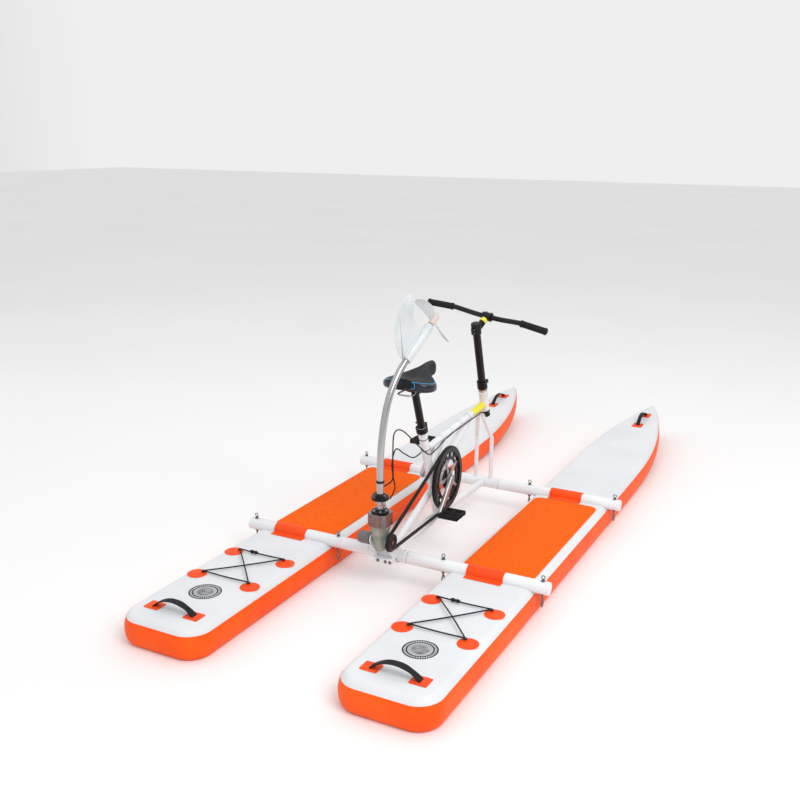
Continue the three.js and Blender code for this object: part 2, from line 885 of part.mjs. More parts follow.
function gearboxGeometry() {
  const centre = (low, high) => sternPoint(0, tiltForward, (low + high) / 2);
  const bevel = capBlockBevel;
  const blockShape = outline([
    [-capBlockHalf + bevel, -capBlockHalf],
    [capBlockHalf - bevel, -capBlockHalf],
    [capBlockHalf, -capBlockHalf + bevel],
    [capBlockHalf, capBlockHalf - bevel],
    [capBlockHalf - bevel, capBlockHalf],
    [-capBlockHalf + bevel, capBlockHalf],
    [-capBlockHalf, capBlockHalf - bevel],
    [-capBlockHalf, -capBlockHalf + bevel],
  ]);
  const block = extrude(blockShape, capBlockHigh - housingHigh);
  const blockCentre = centre(housingHigh, capBlockHigh);
  block.translate(blockCentre.x, blockCentre.y, blockCentre.z);
  const pieces = [
    taperedHousing(centre(housingLow, housingHigh)),
    block,
    rod(beside(tiltCentre, -trunnionPortInner), beside(tiltCentre, trunnionStarboard), trunnionRadius),
    rod(
      beside(tiltCentre, -trunnionPortOuter),
      beside(tiltCentre, -trunnionPortInner),
      trunnionPortRadius,
    ),
  ];
  const socketLow = sternPoint(0, tiltForward, capBlockHigh - legSocketDepth);
  const socketHigh = sternPoint(0, tiltForward, capBlockHigh + legSocketDepth);
  const shaftStart = beside(tiltCentre, trunnionStarboard - inputShaftDepth - slideGap);
  const shaftEnd = beside(tiltCentre, trunnionStarboard * 2);
  return shape(pieces, [
    rod(socketLow, socketHigh, legRadius + slideGap),
    rod(shaftStart, shaftEnd, inputShaftRadius + slideGap, smallSides),
  ]);
}

function flangeGeometry() {
  const low = sternPoint(0, tiltForward, capBlockHigh + touchGap);
  const high = low.clone().addScaledVector(up, flangeThickness);
  const pieces = [rod(low, high, flangeRadius)];
  for (let index = 0; index < boltCount; index += 1) {
    const angle = (index / boltCount) * Math.PI * 2;
    const x = boltCircleRadius * Math.cos(angle);
    const y = boltCircleRadius * Math.sin(angle);
    const foot = low.clone().add(new THREE.Vector3(x, y, 0));
    pieces.push(rod(foot, foot.clone().addScaledVector(up, boltHeight), boltRadius, cordSides));
  }
  const below = low.clone().addScaledVector(up, -flangeThickness);
  const above = high.clone().addScaledVector(up, flangeThickness);
  return shape(pieces, [rod(below, above, legRadius + slideGap)]);
}

const legHeading = new THREE.Vector3(Math.sin(legYaw), Math.cos(legYaw), 0);
const onLeg = (reach, height) =>
  sternPoint(0, tiltForward, height).addScaledVector(legHeading, reach);

// The leg runs straight up and then leans over in two arcs towards the bow.
const firstReach = legFirstRadius * (1 - Math.cos(legFirstTurn));
const firstHeight = legStraightTop + legFirstRadius * Math.sin(legFirstTurn);
const legTurn = legFirstTurn + legSecondTurn;
const secondReach =
  firstReach + legSecondRadius * (Math.cos(legFirstTurn) - Math.cos(legTurn));
const secondHeight =
  firstHeight + legSecondRadius * (Math.sin(legTurn) - Math.sin(legFirstTurn));
const sleeveStart = onLeg(secondReach, secondHeight);
const sleeveAlong = legHeading
  .clone()
  .multiplyScalar(Math.sin(legTurn))
  .addScaledVector(up, Math.cos(legTurn));
const sleeveAcross = new THREE.Vector3(legHeading.y, -legHeading.x, 0);
const sleeveNormal = sleeveAcross.clone().cross(sleeveAlong);
const alongSleeve = (distance) => sleeveStart.clone().addScaledVector(sleeveAlong, distance);

function legGeometry() {
  const points = [];
  const socketBottom = capBlockHigh - legSocketDepth + slideGap;
  points.push(onLeg(0, socketBottom));
  points.push(onLeg(0, (socketBottom + legStraightTop) / 2));
  for (let step = 0; step <= legFirstSteps; step += 1) {
    const angle = legFirstTurn * (step / legFirstSteps);
    const reach = legFirstRadius * (1 - Math.cos(angle));
    points.push(onLeg(reach, legStraightTop + legFirstRadius * Math.sin(angle)));
  }
  for (let step = 1; step <= legSecondSteps; step += 1) {
    const angle = legFirstTurn + legSecondTurn * (step / legSecondSteps);
    const reach = firstReach + legSecondRadius * (Math.cos(legFirstTurn) - Math.cos(angle));
    const rise = legSecondRadius * (Math.sin(angle) - Math.sin(legFirstTurn));
    points.push(onLeg(reach, firstHeight + rise));
  }
  points.push(alongSleeve(legEndLength / 2), alongSleeve(legEndLength));
  const tube = sweep(points, legRadius, legFirstSteps + legSecondSteps * 2, smallSides);
  const bandLow = onLeg(0, bandHeight);
  const band = rod(bandLow, onLeg(0, bandHeight + bandThickness), bandRadius);
  const collarLow = onLeg(0, collarHeight);
  return shape([
    tube,
    band,
    rod(collarLow, onLeg(0, collarHeight + collarThickness), collarRadius),
    rod(collarLow, onLeg(0, collarHeight + collarHubHeight), collarHubRadius),
  ]);
}

// Moves a piece made round +Z so that it stands on a start point along a direction.
function standOn(geometry, start, along) {
  geometry.applyQuaternion(new THREE.Quaternion().setFromUnitVectors(up, along));
  geometry.translate(start.x, start.y, start.z);
  return geometry;
}

function propSleeveGeometry() {
  const wallStart = sleeveTubeLength - sleeveTubeWall;
  return shape(
    [rod(sleeveStart, alongSleeve(sleeveTubeLength), sleeveTubeRadius)],
    [
      rod(alongSleeve(-sleeveTubeWall), alongSleeve(wallStart), sleeveTubeBore),
      rod(
        alongSleeve(wallStart - sleeveTubeWall),
        alongSleeve(sleeveTubeLength * 2),
        propShaftRadius + slideGap,
        smallSides,
      ),
    ],
  );
}

function bladeGeometry(sign) {
  const edge = (shares, reach) => shares.map(([along, out]) => [out * reach, along * bladeLength]);
  const points = [...edge(bladeLeadShares, -bladeWideHalf), ...edge(bladeTrailShares, bladeWideHalf)];
  const geometry = extrude(outline(points), bladeThickness);
  geometry.rotateX(Math.PI / 2);
  geometry.rotateZ(bladePitch * sign);
  if (sign < 0) geometry.rotateY(Math.PI);
  return geometry;
}

const hubStart = alongSleeve(sleeveTubeLength + propGap);
const hubMiddle = alongSleeve(sleeveTubeLength + propGap + propHubLength / 2);

function propellerGeometry() {
  const noseEnd = hubMiddle
    .clone()
    .addScaledVector(sleeveAlong, propHubLength / 2 + propNoseLength);
  const hubEnd = alongSleeve(sleeveTubeLength + propGap + propHubLength);
  const shaftStart = alongSleeve(sleeveTubeLength - sleeveTubeWall);
  const pieces = [
    rod(hubStart, hubEnd, propHubRadius),
    rod(hubEnd, noseEnd, propHubRadius, roundSides, propShaftRadius),
    rod(shaftStart, hubMiddle, propShaftRadius, smallSides),
  ];
  const facing = new THREE.Matrix4().makeBasis(sleeveAcross, sleeveAlong, sleeveNormal);
  facing.setPosition(hubMiddle);
  for (const sign of [-1, 1]) {
    const blade = bladeGeometry(sign);
    blade.rotateY(-bladeRest);
    blade.applyMatrix4(facing);
    pieces.push(blade);
  }
  return shape(pieces);
}

function finGeometry() {
  const root = sleeveTubeRadius + touchGap;
  const corners = finOutlineShares.map(
    ([along, out]) => new THREE.Vector3(along * finSize, root + out * finSize, 0),
  );
  const curve = new THREE.CatmullRomCurve3(corners, false, 'centripetal');
  const points = curve.getPoints(finCurveSteps).map((point) => [point.x, Math.max(root, point.y)]);
  const geometry = extrude(outline(points), finThickness);
  const facing = new THREE.Matrix4().makeBasis(
    sleeveAlong,
    sleeveNormal,
    sleeveAlong.clone().cross(sleeveNormal),
  );
  facing.setPosition(sleeveStart);
  geometry.applyMatrix4(facing);
  return geometry;
}

const steerTurn = new THREE.Quaternion().setFromAxisAngle(headUp, steerAngle);
const headForward = headUp.clone().cross(side);

// A point of the steering group: across, forward and up its own axis, turned with the bar.
function onSteer(across, ahead, along) {
  const offset = side.clone().multiplyScalar(across).addScaledVector(headForward, ahead);
  return onHead(along).add(offset.applyQuaternion(steerTurn));
}

function steererGeometry() {
  const clampMiddle = (clampLow + steererTop) / 2;
  const pieces = [
    rod(onHead(steerPulleyHigh + touchGap * 2 - clampEarHalf), onHead(steererTop), steererRadius),
    rod(onHead(steerPulleyLow), onHead(steerPulleyHigh), steerPulleyRadius),
    rod(onHead(clampLow), onHead(steererTop), clampRadius),
    rod(
      onSteer(0, 0, clampMiddle),
      onSteer(0, clampEarReach, clampMiddle),
      clampEarHalf,
      smallSides,
    ),
  ];
  return shape(pieces, [
    rod(onHead(quillLow - touchGap), onHead(postTop), steererBore),
    rod(onHead(steererTop - clampSlot), onHead(postTop), postRadius + slideGap),
  ]);
}

function leverGeometry(pivot, axis, along) {
  const half = axis.clone().multiplyScalar(leverWidth / 2);
  const bossStart = pivot.clone().sub(half);
  const bossEnd = pivot.clone().add(half);
  const blade = new THREE.BoxGeometry(leverWidth, leverLength, leverThickness);
  blade.translate(0, leverLength / 2, 0);
  const basis = new THREE.Matrix4().makeBasis(axis, along, axis.clone().cross(along));
  basis.setPosition(pivot);
  blade.applyMatrix4(basis);
  return shape([rod(bossStart, bossEnd, leverBossRadius, smallSides), blade]);
}

function handlepostGeometry() {
  return shape([
    rod(onHead(quillLow), onHead(postTop), quillRadius),
    rod(onHead(postShoulder), onHead(postTop), postRadius),
  ]);
}

function handlebarPoints() {
  const height = postTop + stemRise;
  const points = [];
  for (const across of handlebarAcrossShares) {
    const share = Math.max(0, (Math.abs(across) * handlebarHalf - handlebarBendHalf) / handlebarHalf);
    points.push(
      onSteer(
        across * handlebarHalf,
        stemForward - handlebarSweep * share,
        height + handlebarLift * share,
      ),
    );
  }
  return points;
}

function stemGeometry() {
  const height = postTop + stemRise;
  const pieces = [
    rod(onHead(stemClampLow), onHead(postTop + touchGap + barClampRadius), stemClampRadius),
    rod(onSteer(0, 0, postTop - stemRise), onSteer(0, stemForward, height), stemRadius, smallSides),
    rod(
      onSteer(-barClampHalf, stemForward, height),
      onSteer(barClampHalf, stemForward, height),
      barClampRadius,
    ),
  ];
  return shape(pieces, [
    rod(onHead(stemClampLow - stemRise), onHead(postTop + touchGap), postRadius + touchGap),
    rod(
      onSteer(-barClampHalf * 2, stemForward, height),
      onSteer(barClampHalf * 2, stemForward, height),
      handlebarRadius + slideGap * 2,
    ),
  ]);
}

function gripGeometry(sign) {
  const points = handlebarPoints();
  const end = sign < 0 ? points[0] : points[points.length - 1];
  const next = sign < 0 ? points[1] : points[points.length - 2];
  const inward = next.clone().sub(end).normalize();
  const geometry = lathe([
    [0, -gripEnd - touchGap],
    [gripRadius, -gripEnd - touchGap],
    [gripRadius, gripLength],
    [handlebarRadius + slideGap, gripLength],
    [handlebarRadius + slideGap, -touchGap],
    [0, -touchGap],
  ]);
  return standOn(geometry, end, inward);
}

const seatAhead = seatUp.clone().cross(side);

function seatClampGeometry() {
  const middle = (seatClampLow + seatClampHigh) / 2;
  const earEnd = onSeat(middle).addScaledVector(seatAhead, clampEarReach);
  return shape(
    [
      rod(onSeat(seatClampLow), onSeat(seatClampHigh), seatClampRadius),
      rod(onSeat(middle), earEnd, clampEarHalf, smallSides),
    ],
    [
      rod(
        onSeat(seatClampLow - seatClampRadius),
        onSeat(seatClampHigh + seatClampRadius),
        seatTubeRadius + touchGap,
      ),
    ],
  );
}

const saddleCentre = saddleRearForward + saddleLength / 2;

function seatPostGeometry() {
  const head = onSeat(seatPostHigh);
  const pieces = [
    rod(onSeat(seatPostLow), head, seatPostRadius),
    rod(beside(head, -seatHeadHalf), beside(head, seatHeadHalf), seatHeadRadius / 2, smallSides),
  ];
  const underside = saddleTop - saddleTailDrop - saddleThickness - saddleDip + saddleCrown / 2 - slideGap;
  const railHeight = underside - railRadius;
  for (const sign of [-1, 1]) {
    pieces.push(
      rod(
        sternPoint(sign * railHalf, saddleCentre - railLength / 2, railHeight),
        sternPoint(sign * railHalf, saddleCentre + railLength / 2, railHeight),
        railRadius,
        cordSides,
      ),
    );
  }
  return shape(pieces);
}

// The saddle is wide at the rear, drawn in to a nose, with a crown across the top.
function saddleGeometry() {
  const positions = [];
  const faces = [];
  for (let step = 0; step <= saddleSteps; step += 1) {
    const share = step / saddleSteps;
    const tail = 1 - Math.min(1, share / saddleTailShare);
    const opening = Math.sqrt(1 - tail * tail);
    const nose = 1 - THREE.MathUtils.smoothstep(share, saddleFlareStartShare, saddleFlareEndShare);
    const tip = Math.max(0, (share - 1 + saddleTipShare) / saddleTipShare);
    const closing = Math.sqrt(Math.max(0, 1 - tip * tip));
    const tailWidth = saddleTailWidthShare + (1 - saddleTailWidthShare) * opening;
    const tipWidth = saddleTipWidthShare + (1 - saddleTipWidthShare) * closing;
    const tailDepth = saddleTailDepthShare + (1 - saddleTailDepthShare) * opening;
    const tipDepth = saddleTipDepthShare + (1 - saddleTipDepthShare) * closing;
    const wide = saddleNoseHalf + (saddleHalfWidth - saddleNoseHalf) * nose;
    const halfWidth = wide * tailWidth * tipWidth;
    const deep = saddleThickness * tailDepth * tipDepth;
    const dip = saddleDip * Math.sin(share * Math.PI) + saddleTailDrop * nose;
    for (let corner = 0; corner < saddleSides; corner += 1) {
      const angle = (corner / saddleSides) * Math.PI * 2;
      const across = Math.sign(Math.cos(angle)) * Math.abs(Math.cos(angle)) ** saddleSectionShape;
      const rise = Math.sign(Math.sin(angle)) * Math.abs(Math.sin(angle)) ** saddleSectionShape;
      const z = saddleTop - dip - deep / 2 + (deep / 2) * rise - saddleCrown * across * across;
      positions.push(halfWidth * across, saddleRearForward + saddleLength * share - halfLength, z);
    }
  }
  const rings = saddleSteps;
  for (let ring = 0; ring < rings; ring += 1) {
    for (let corner = 0; corner < saddleSides; corner += 1) {
      const next = (corner + 1) % saddleSides;
      const near = ring * saddleSides;
      const far = near + saddleSides;
      faces.push(near + corner, far + next, near + next);
      faces.push(near + corner, far + corner, far + next);
    }
  }
  const end = rings * saddleSides;
  for (let corner = 1; corner < saddleSides - 1; corner += 1) {
    faces.push(0, corner, corner + 1);
    faces.push(end, end + corner + 1, end + corner);
  }
  const geometry = new THREE.BufferGeometry();
  geometry.setAttribute('position', new THREE.Float32BufferAttribute(positions, 3));
  geometry.setIndex(faces);
  return geometry;
}

function wheelGeometry() {
  const middle = (wheelInner + wheelOuter) / 2;
  const rimInner = wheelGrooveRadius - wheelRimDepth;
  const at = (x) => beside(crankCentre, x);
  const grooveInner = wheelInner + wheelFlangeThickness;
  const grooveOuter = wheelOuter - wheelFlangeThickness;
  const openInner = at(wheelInner - wheelRimDepth);
  const openOuter = at(wheelOuter + wheelRimDepth);
  const body = [
    rod(at(grooveInner), at(grooveOuter), wheelGrooveRadius, wheelSides),
    rod(at(wheelInner), at(grooveInner), wheelFlangeRadius, wheelSides),
    rod(at(grooveOuter), at(wheelOuter), wheelFlangeRadius, wheelSides),
  ];
  const opening = [rod(openInner, openOuter, rimInner, wheelSides)];
  const ring = join(body).subtract(join(opening));
  const reach = rimInner + wheelRimDepth / 2;
  let plate = join([rod(at(middle - wheelPlateHalf), at(middle + wheelPlateHalf), reach, wheelSides)]);
  for (let index = 0; index < wheelWindowCount; index += 1) {
    const start = (index / wheelWindowCount) * Math.PI * 2;
    const spread = (wheelWindowShare / wheelWindowCount) * Math.PI * 2;
    const points = [];
    for (let step = 0; step <= cornerSteps; step += 1) {
      const angle = start + spread * (step / cornerSteps);
      points.push([rimInner * Math.cos(angle), rimInner * Math.sin(angle)]);
    }
    for (let step = cornerSteps; step >= 0; step -= 1) {
      const angle = start + spread * (step / cornerSteps);
      const inner = wheelHubRadius + wheelRimDepth;
      points.push([inner * Math.cos(angle), inner * Math.sin(angle)]);
    }
    const window = acrossBike(extrude(outline(points), wheelRimDepth));
    window.translate(middle, crankCentre.y, crankCentre.z);
    plate = plate.subtract(toSolid(window));
  }
  const hub = toSolid(rod(at(wheelInner), at(wheelOuter), wheelHubRadius));
  const bore = toSolid(rod(at(0), at(wheelOuter * 2), spindleRadius + touchGap));
  return toGeometry(ring.add(plate).add(hub).subtract(bore));
}

const pulleyStarboard = trunnionStarboard + touchGap;

function inputPulleyGeometry() {
  const at = (x) => beside(tiltCentre, x);
  return shape([
    rod(at(wheelInner), at(wheelOuter), beltPulleyGroove),
    rod(at(wheelInner), at(wheelInner + wheelFlangeThickness), beltPulleyFlange),
    rod(at(wheelOuter - wheelFlangeThickness), at(wheelOuter), beltPulleyFlange),
    rod(at(pulleyStarboard - inputShaftDepth), at(wheelInner), inputShaftRadius, smallSides),
  ]);
}

function beltLine(bigRadius, smallRadius) {
  const reach = crankForward - tiltForward;
  const rise = crankHeight - tiltHeight;
  const heading = Math.atan2(rise, reach);
  const lean = Math.acos((bigRadius - smallRadius) / Math.hypot(reach, rise));
  const points = [];
  const bigSteps = wheelSides;
  for (let step = 0; step <= bigSteps; step += 1) {
    const angle = heading + Math.PI + lean + (Math.PI * 2 - lean * 2) * (step / bigSteps);
    points.push([
      crankCentre.y + bigRadius * Math.cos(angle),
      crankCentre.z + bigRadius * Math.sin(angle),
    ]);
  }
  for (let step = 0; step <= arcSteps; step += 1) {
    const angle = heading + Math.PI - lean + lean * 2 * (step / arcSteps);
    points.push([
      tiltCentre.y + smallRadius * Math.cos(angle),
      tiltCentre.z + smallRadius * Math.sin(angle),
    ]);
  }
  return points;
}

function beltGeometry() {
  const innerBig = wheelGrooveRadius + beltGap;
  const innerSmall = beltPulleyGroove + beltGap;
  const loop = outline(beltLine(innerBig + beltThickness, innerSmall + beltThickness));
  loop.holes.push(outline(beltLine(innerBig, innerSmall)));
  const geometry = acrossBike(extrude(loop, beltWidth));
  geometry.translate((wheelInner + wheelOuter) / 2, 0, 0);
  return geometry;
}

const pedalOffset = new THREE.Vector3(0, -Math.sin(crankAngle), -Math.cos(crankAngle));
pedalOffset.multiplyScalar(crankLength);
const pedalCentre = (sign) => crankCentre.clone().addScaledVector(pedalOffset, sign);

function crankArmGeometry(sign) {
  const from = [crankCentre.y, crankCentre.z];
  const pedal = pedalCentre(sign);
  const flat = capsule(from, [pedal.y, pedal.z], crankBossRadius, crankEndRadius);
  const arm = acrossBike(extrude(flat, crankThickness));
  arm.translate(sign * (crankInner + crankThickness / 2), 0, 0);
  const far = crankInner + crankThickness * 2;
  return shape(
    [arm],
    [
      rod(beside(crankCentre, 0), beside(crankCentre, sign * far), spindleRadius + touchGap),
      rod(beside(pedal, 0), beside(pedal, sign * far), pedalAxleRadius + slideGap, smallSides),
    ],
  );
}

function pedalGeometry(sign) {
  const pedal = pedalCentre(sign);
  const inner = crankInner + crankThickness + pedalGap;
  const middle = beside(pedal, sign * (inner + pedalWidth / 2));
  const window = pedalWidth * pedalWindowShare;
  const cutters = [-1, 1].map((end) =>
    box(
      window * 2,
      window,
      pedalThickness * 2,
      middle.clone().add(new THREE.Vector3(0, end * pedalLength * pedalWindowReachShare, 0)),
    ),
  );
  const tread = box(pedalWidth, pedalLength, pedalThickness, middle);
  const block = toSolid(tread);
  let solid = block;
  for (const cutter of cutters) solid = solid.subtract(toSolid(cutter));
  const axle = rod(
    beside(pedal, sign * (crankInner + slideGap)),
    beside(pedal, sign * (inner + pedalWidth)),
    pedalAxleRadius,
    smallSides,
  );
  return toGeometry(solid.add(toSolid(axle)));
}

const cableRun = [
  [27, 1718, 446],
  [23, 1672, 472],
  [21, 1600, 470],
  [16.4, 1420, 459],
  [19, 1290, 450],
  [26, 1200, 438],
  [30, 1120, 440],
  [20, 1040, 500],
  [12, 930, 585],
  [14, 862, 596],
  [22, 834, 540],
  [26, 830, 440],
  [30, 836, 392],
  [37.5, 786, 367.5],
];
const returnRun = [
  [-27, 1718, 446],
  [-23, 1672, 472],
  [-21, 1600, 470],
  [-16.4, 1420, 459],
  [-19, 1290, 450],
  [-28, 1200, 428],
  [-30, 1110, 420],
  [-16, 1000, 470],
  [0, 900, 520],
  [10, 850, 480],
  [16, 842, 420],
  [-26, 836, 382],
  [-37.5, 786, 367.5],
];

function cableGeometry(run) {
  const points = run.map(([x, forward, height]) => sternPoint(x, forward, height));
  return sweep(points, cableRadius, cableSteps, cordSides);
}

const orange = 0xf2591d;
const deckWhite = 0xe9eaec;
const paintWhite = 0xf1f1ef;
const black = 0x17181a;
const steel = 0xb9bcc0;

const boards = [['starboard', hullCentre], ['port', -hullCentre]];
for (const [label, x] of boards) {
  const shifted = (mesh) => mesh.position.set(x, 0, 0);
  shifted(addPiece(`hull_${label}`, hullGeometry(), deckWhite, 0.55));
  shifted(addPiece(`deck_pad_${label}`, padGeometry(), orange, 0.85));
  shifted(addPiece(`bungee_net_${label}`, netGeometry(), black, 0.8));
  shifted(addPiece(`valve_body_${label}`, valveBodyGeometry(), 0x3b3e42, 0.6));
  shifted(addPiece(`valve_cap_${label}`, valveCapGeometry(), 0x55585c, 0.6));
  shifted(addPiece(`bar_sleeve_rear_${label}`, barSleeveGeometry(rearBarForward), orange, 0.8));
  shifted(addPiece(`bar_sleeve_front_${label}`, barSleeveGeometry(frontBarForward), orange, 0.8));
  const sternHandle = addPiece(`stern_handle_${label}`, handleGeometry(), black, 0.8);
  sternHandle.position.copy(sternPoint(x, handleSternForward, hullHeight + touchGap));
  const bowHandle = addPiece(`bow_handle_${label}`, handleGeometry(), black, 0.8);
  const bowDeck = hullHeight + riseAt(handleBowForward);
  bowHandle.position.copy(sternPoint(x, handleBowForward, bowDeck + touchGap * 3));
  const span = hullLength - bowRiseForward;
  const slope = (2 * bowRise * (handleBowForward - bowRiseForward)) / (span * span);
  bowHandle.rotation.set(Math.atan(slope), 0, Math.PI / 2, 'XYZ');
}
for (const [label, centre] of boards) {
  const sign = Math.sign(centre);
  for (const [place, forward] of [['rear', rearBarForward], ['front', frontBarForward]]) {
    const tube = outerTubeGeometry(forward, sign);
    addPiece(`cross_tube_${place}_${label}`, tube, paintWhite, 0.35);
    for (const [edge, offset] of [['inner', -sign * pinOffset], ['outer', sign * pinOffset]]) {
      const pin = pinGeometry(forward, centre + offset);
      addPiece(`tie_pin_${place}_${label}_${edge}`, pin, steel, 0.3, 0.9);
    }
  }
}

addPiece('frame', frameGeometry(), paintWhite, 0.35);
addPiece('tilt_bracket', bracketGeometry(), paintWhite, 0.35);
addPiece('gearbox', gearboxGeometry(), 0x9b9c98, 0.4, 0.8);
addPiece('gearbox_flange', flangeGeometry(), black, 0.4);
addPiece('leg_tube', legGeometry(), steel, 0.25, 0.9);
addPiece('propeller_sleeve', propSleeveGeometry(), paintWhite, 0.5);
addPiece('fin', finGeometry(), 0xe3e6e4, 0.5);
addPiece('propeller', propellerGeometry(), paintWhite, 0.5);

addPiece('steerer', steererGeometry(), black, 0.4);
addPiece('handlepost', handlepostGeometry(), black, 0.35);
const leverReach = clampEarReach + leverBossRadius + slideGap;
const clampPivot = onSteer(0, leverReach, (clampLow + steererTop) / 2);
const steerSide = side.clone().applyQuaternion(steerTurn);
addPiece('post_lever', leverGeometry(clampPivot, headUp, steerSide.clone().negate()), black, 0.4);
addPiece('stem', stemGeometry(), black, 0.35);
addPiece('handlebar', sweep(handlebarPoints(), handlebarRadius, arcSteps, smallSides), black, 0.35);
addPiece('grip_starboard', gripGeometry(1), black, 0.85);
addPiece('grip_port', gripGeometry(-1), black, 0.85);

addPiece('seat_clamp', seatClampGeometry(), black, 0.4);
const seatPivot = onSeat((seatClampLow + seatClampHigh) / 2).addScaledVector(seatAhead, leverReach);
addPiece('seat_lever', leverGeometry(seatPivot, seatUp, side.clone().negate()), black, 0.4);
addPiece('seat_post', seatPostGeometry(), black, 0.35);
addPiece('saddle', saddleGeometry(), black, 0.6);

addPiece(
  'crank_spindle',
  rod(beside(crankCentre, -spindleHalf), beside(crankCentre, spindleHalf), spindleRadius),
  steel,
  0.3,
  0.9,
);
addPiece('drive_wheel', wheelGeometry(), black, 0.45);
addPiece('input_pulley', inputPulleyGeometry(), black, 0.45);
addPiece('drive_belt', beltGeometry(), 0x232323, 0.8);
for (const [label, sign] of [['starboard', 1], ['port', -1]]) {
  addPiece(`crank_${label}`, crankArmGeometry(sign), 0x8d9094, 0.35, 0.8);
  addPiece(`pedal_${label}`, pedalGeometry(sign), black, 0.7);
}
addPiece('steer_cable', cableGeometry(cableRun), black, 0.6);
addPiece('return_cable', cableGeometry(returnRun), black, 0.6);

export default group;
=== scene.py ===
import math
import bmesh
import bpy
from mathutils import Matrix, Vector


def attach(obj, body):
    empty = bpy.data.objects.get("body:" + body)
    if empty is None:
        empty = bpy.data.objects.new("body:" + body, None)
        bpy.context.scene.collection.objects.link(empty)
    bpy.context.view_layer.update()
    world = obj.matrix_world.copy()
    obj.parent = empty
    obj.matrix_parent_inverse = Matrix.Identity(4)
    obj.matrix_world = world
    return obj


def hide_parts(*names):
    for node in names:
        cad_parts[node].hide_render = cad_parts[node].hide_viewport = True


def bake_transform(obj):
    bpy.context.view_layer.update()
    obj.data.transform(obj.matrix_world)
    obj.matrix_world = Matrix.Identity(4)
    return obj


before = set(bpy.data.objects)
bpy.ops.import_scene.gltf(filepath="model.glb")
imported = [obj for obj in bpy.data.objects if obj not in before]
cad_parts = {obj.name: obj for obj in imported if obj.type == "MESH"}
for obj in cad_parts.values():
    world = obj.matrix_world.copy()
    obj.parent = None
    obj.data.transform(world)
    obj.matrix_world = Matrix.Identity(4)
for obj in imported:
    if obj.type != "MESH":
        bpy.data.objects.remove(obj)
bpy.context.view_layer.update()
print("frame loaded with", len(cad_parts), "nodes")
mm = 0.001
weldGap = 0.000002  # metres, under which two points are one
hullLength = 3265
up = Vector((0, 0, 1))
toBow = Vector((0, 1, 0))
side = Vector((1, 0, 0))


def place(x, forward, height):  # millimetres, forward from the stern of the boards
    return Vector((x, forward - hullLength / 2, height)) * mm


# camera at the photograph's viewing angle
camera = {
    "at": (1632.9, -3834.2, 1671.2),
    "pitch": 74.671,
    "yaw": 27.539,
    "roll": 0.387,
    "lens": 44.34,
}


def makeCamera(look):
    data = bpy.data.cameras.new("photoCamera")
    data.lens = look["lens"]
    data.sensor_width = 36
    data.clip_end = 50
    eye = bpy.data.objects.new("photoCamera", data)
    bpy.context.scene.collection.objects.link(eye)
    turn = Matrix.Rotation(math.radians(look["yaw"]), 4, "Z")
    tilt = Matrix.Rotation(math.radians(look["pitch"]), 4, "X")
    roll = Matrix.Rotation(math.radians(look["roll"]), 4, "Z")
    eye.matrix_world = Matrix.Translation(Vector(look["at"]) * mm) @ turn @ tilt @ roll
    bpy.context.scene.camera = eye


makeCamera(camera)
print("camera placed")


# materials: each finish starts from one shader with a position input
def startFinish(name, base, roughness, metallic=0.0, coat=0.0, specular=0.5):
    material = bpy.data.materials.new(name)
    material.use_nodes = True
    nodes = material.node_tree.nodes
    shader = nodes["Principled BSDF"]
    shader.inputs["Base Color"].default_value = (*base, 1)
    shader.inputs["Roughness"].default_value = roughness
    shader.inputs["Metallic"].default_value = metallic
    shader.inputs["Coat Weight"].default_value = coat
    shader.inputs["Coat Roughness"].default_value = 0.12
    shader.inputs["Specular IOR Level"].default_value = specular
    where = nodes.new("ShaderNodeTexCoord")
    return material, shader, where.outputs["Object"]


def addNode(material, kind, inputs=None, **settings):
    node = material.node_tree.nodes.new(kind)
    for key, value in settings.items():
        setattr(node, key, value)
    for key, value in (inputs or {}).items():
        node.inputs[key].default_value = value
    return node


def join(material, output, target):
    material.node_tree.links.new(output, target)


def stretched(material, where, scale):
    mapping = addNode(material, "ShaderNodeMapping", {"Scale": scale})
    join(material, where, mapping.inputs["Vector"])
    return mapping.outputs["Vector"]


def blotch(material, shader, where, dark, light, scale, detail=5, low=0.35, high=0.65):
    noise = addNode(material, "ShaderNodeTexNoise", {"Scale": scale, "Detail": detail})
    ramp = addNode(material, "ShaderNodeValToRGB")
    ramp.color_ramp.elements[0].position = low
    ramp.color_ramp.elements[0].color = (*dark, 1)
    ramp.color_ramp.elements[1].position = high
    ramp.color_ramp.elements[1].color = (*light, 1)
    join(material, where, noise.inputs["Vector"])
    join(material, noise.outputs["Fac"], ramp.inputs["Fac"])
    join(material, ramp.outputs["Color"], shader.inputs["Base Color"])
    return ramp


def roughSpread(material, shader, where, low, high, scale):
    noise = addNode(material, "ShaderNodeTexNoise", {"Scale": scale, "Detail": 6})
    spread = addNode(material, "ShaderNodeMapRange", {"To Min": low, "To Max": high})
    join(material, where, noise.inputs["Vector"])
    join(material, noise.outputs["Fac"], spread.inputs["Value"])
    join(material, spread.outputs["Result"], shader.inputs["Roughness"])


def addBump(material, shader, height, strength, distance):
    bump = addNode(material, "ShaderNodeBump", {"Strength": strength, "Distance": distance})
    join(material, height, bump.inputs["Height"])
    earlier = [link.from_socket for link in material.node_tree.links
               if link.to_socket == shader.inputs["Normal"]]
    if earlier:
        join(material, earlier[0], bump.inputs["Normal"])
    join(material, bump.outputs["Normal"], shader.inputs["Normal"])


def noiseBump(material, shader, where, scale, strength, distance, detail=4):
    noise = addNode(material, "ShaderNodeTexNoise", {"Scale": scale, "Detail": detail})
    join(material, where, noise.inputs["Vector"])
    addBump(material, shader, noise.outputs["Fac"], strength, distance)


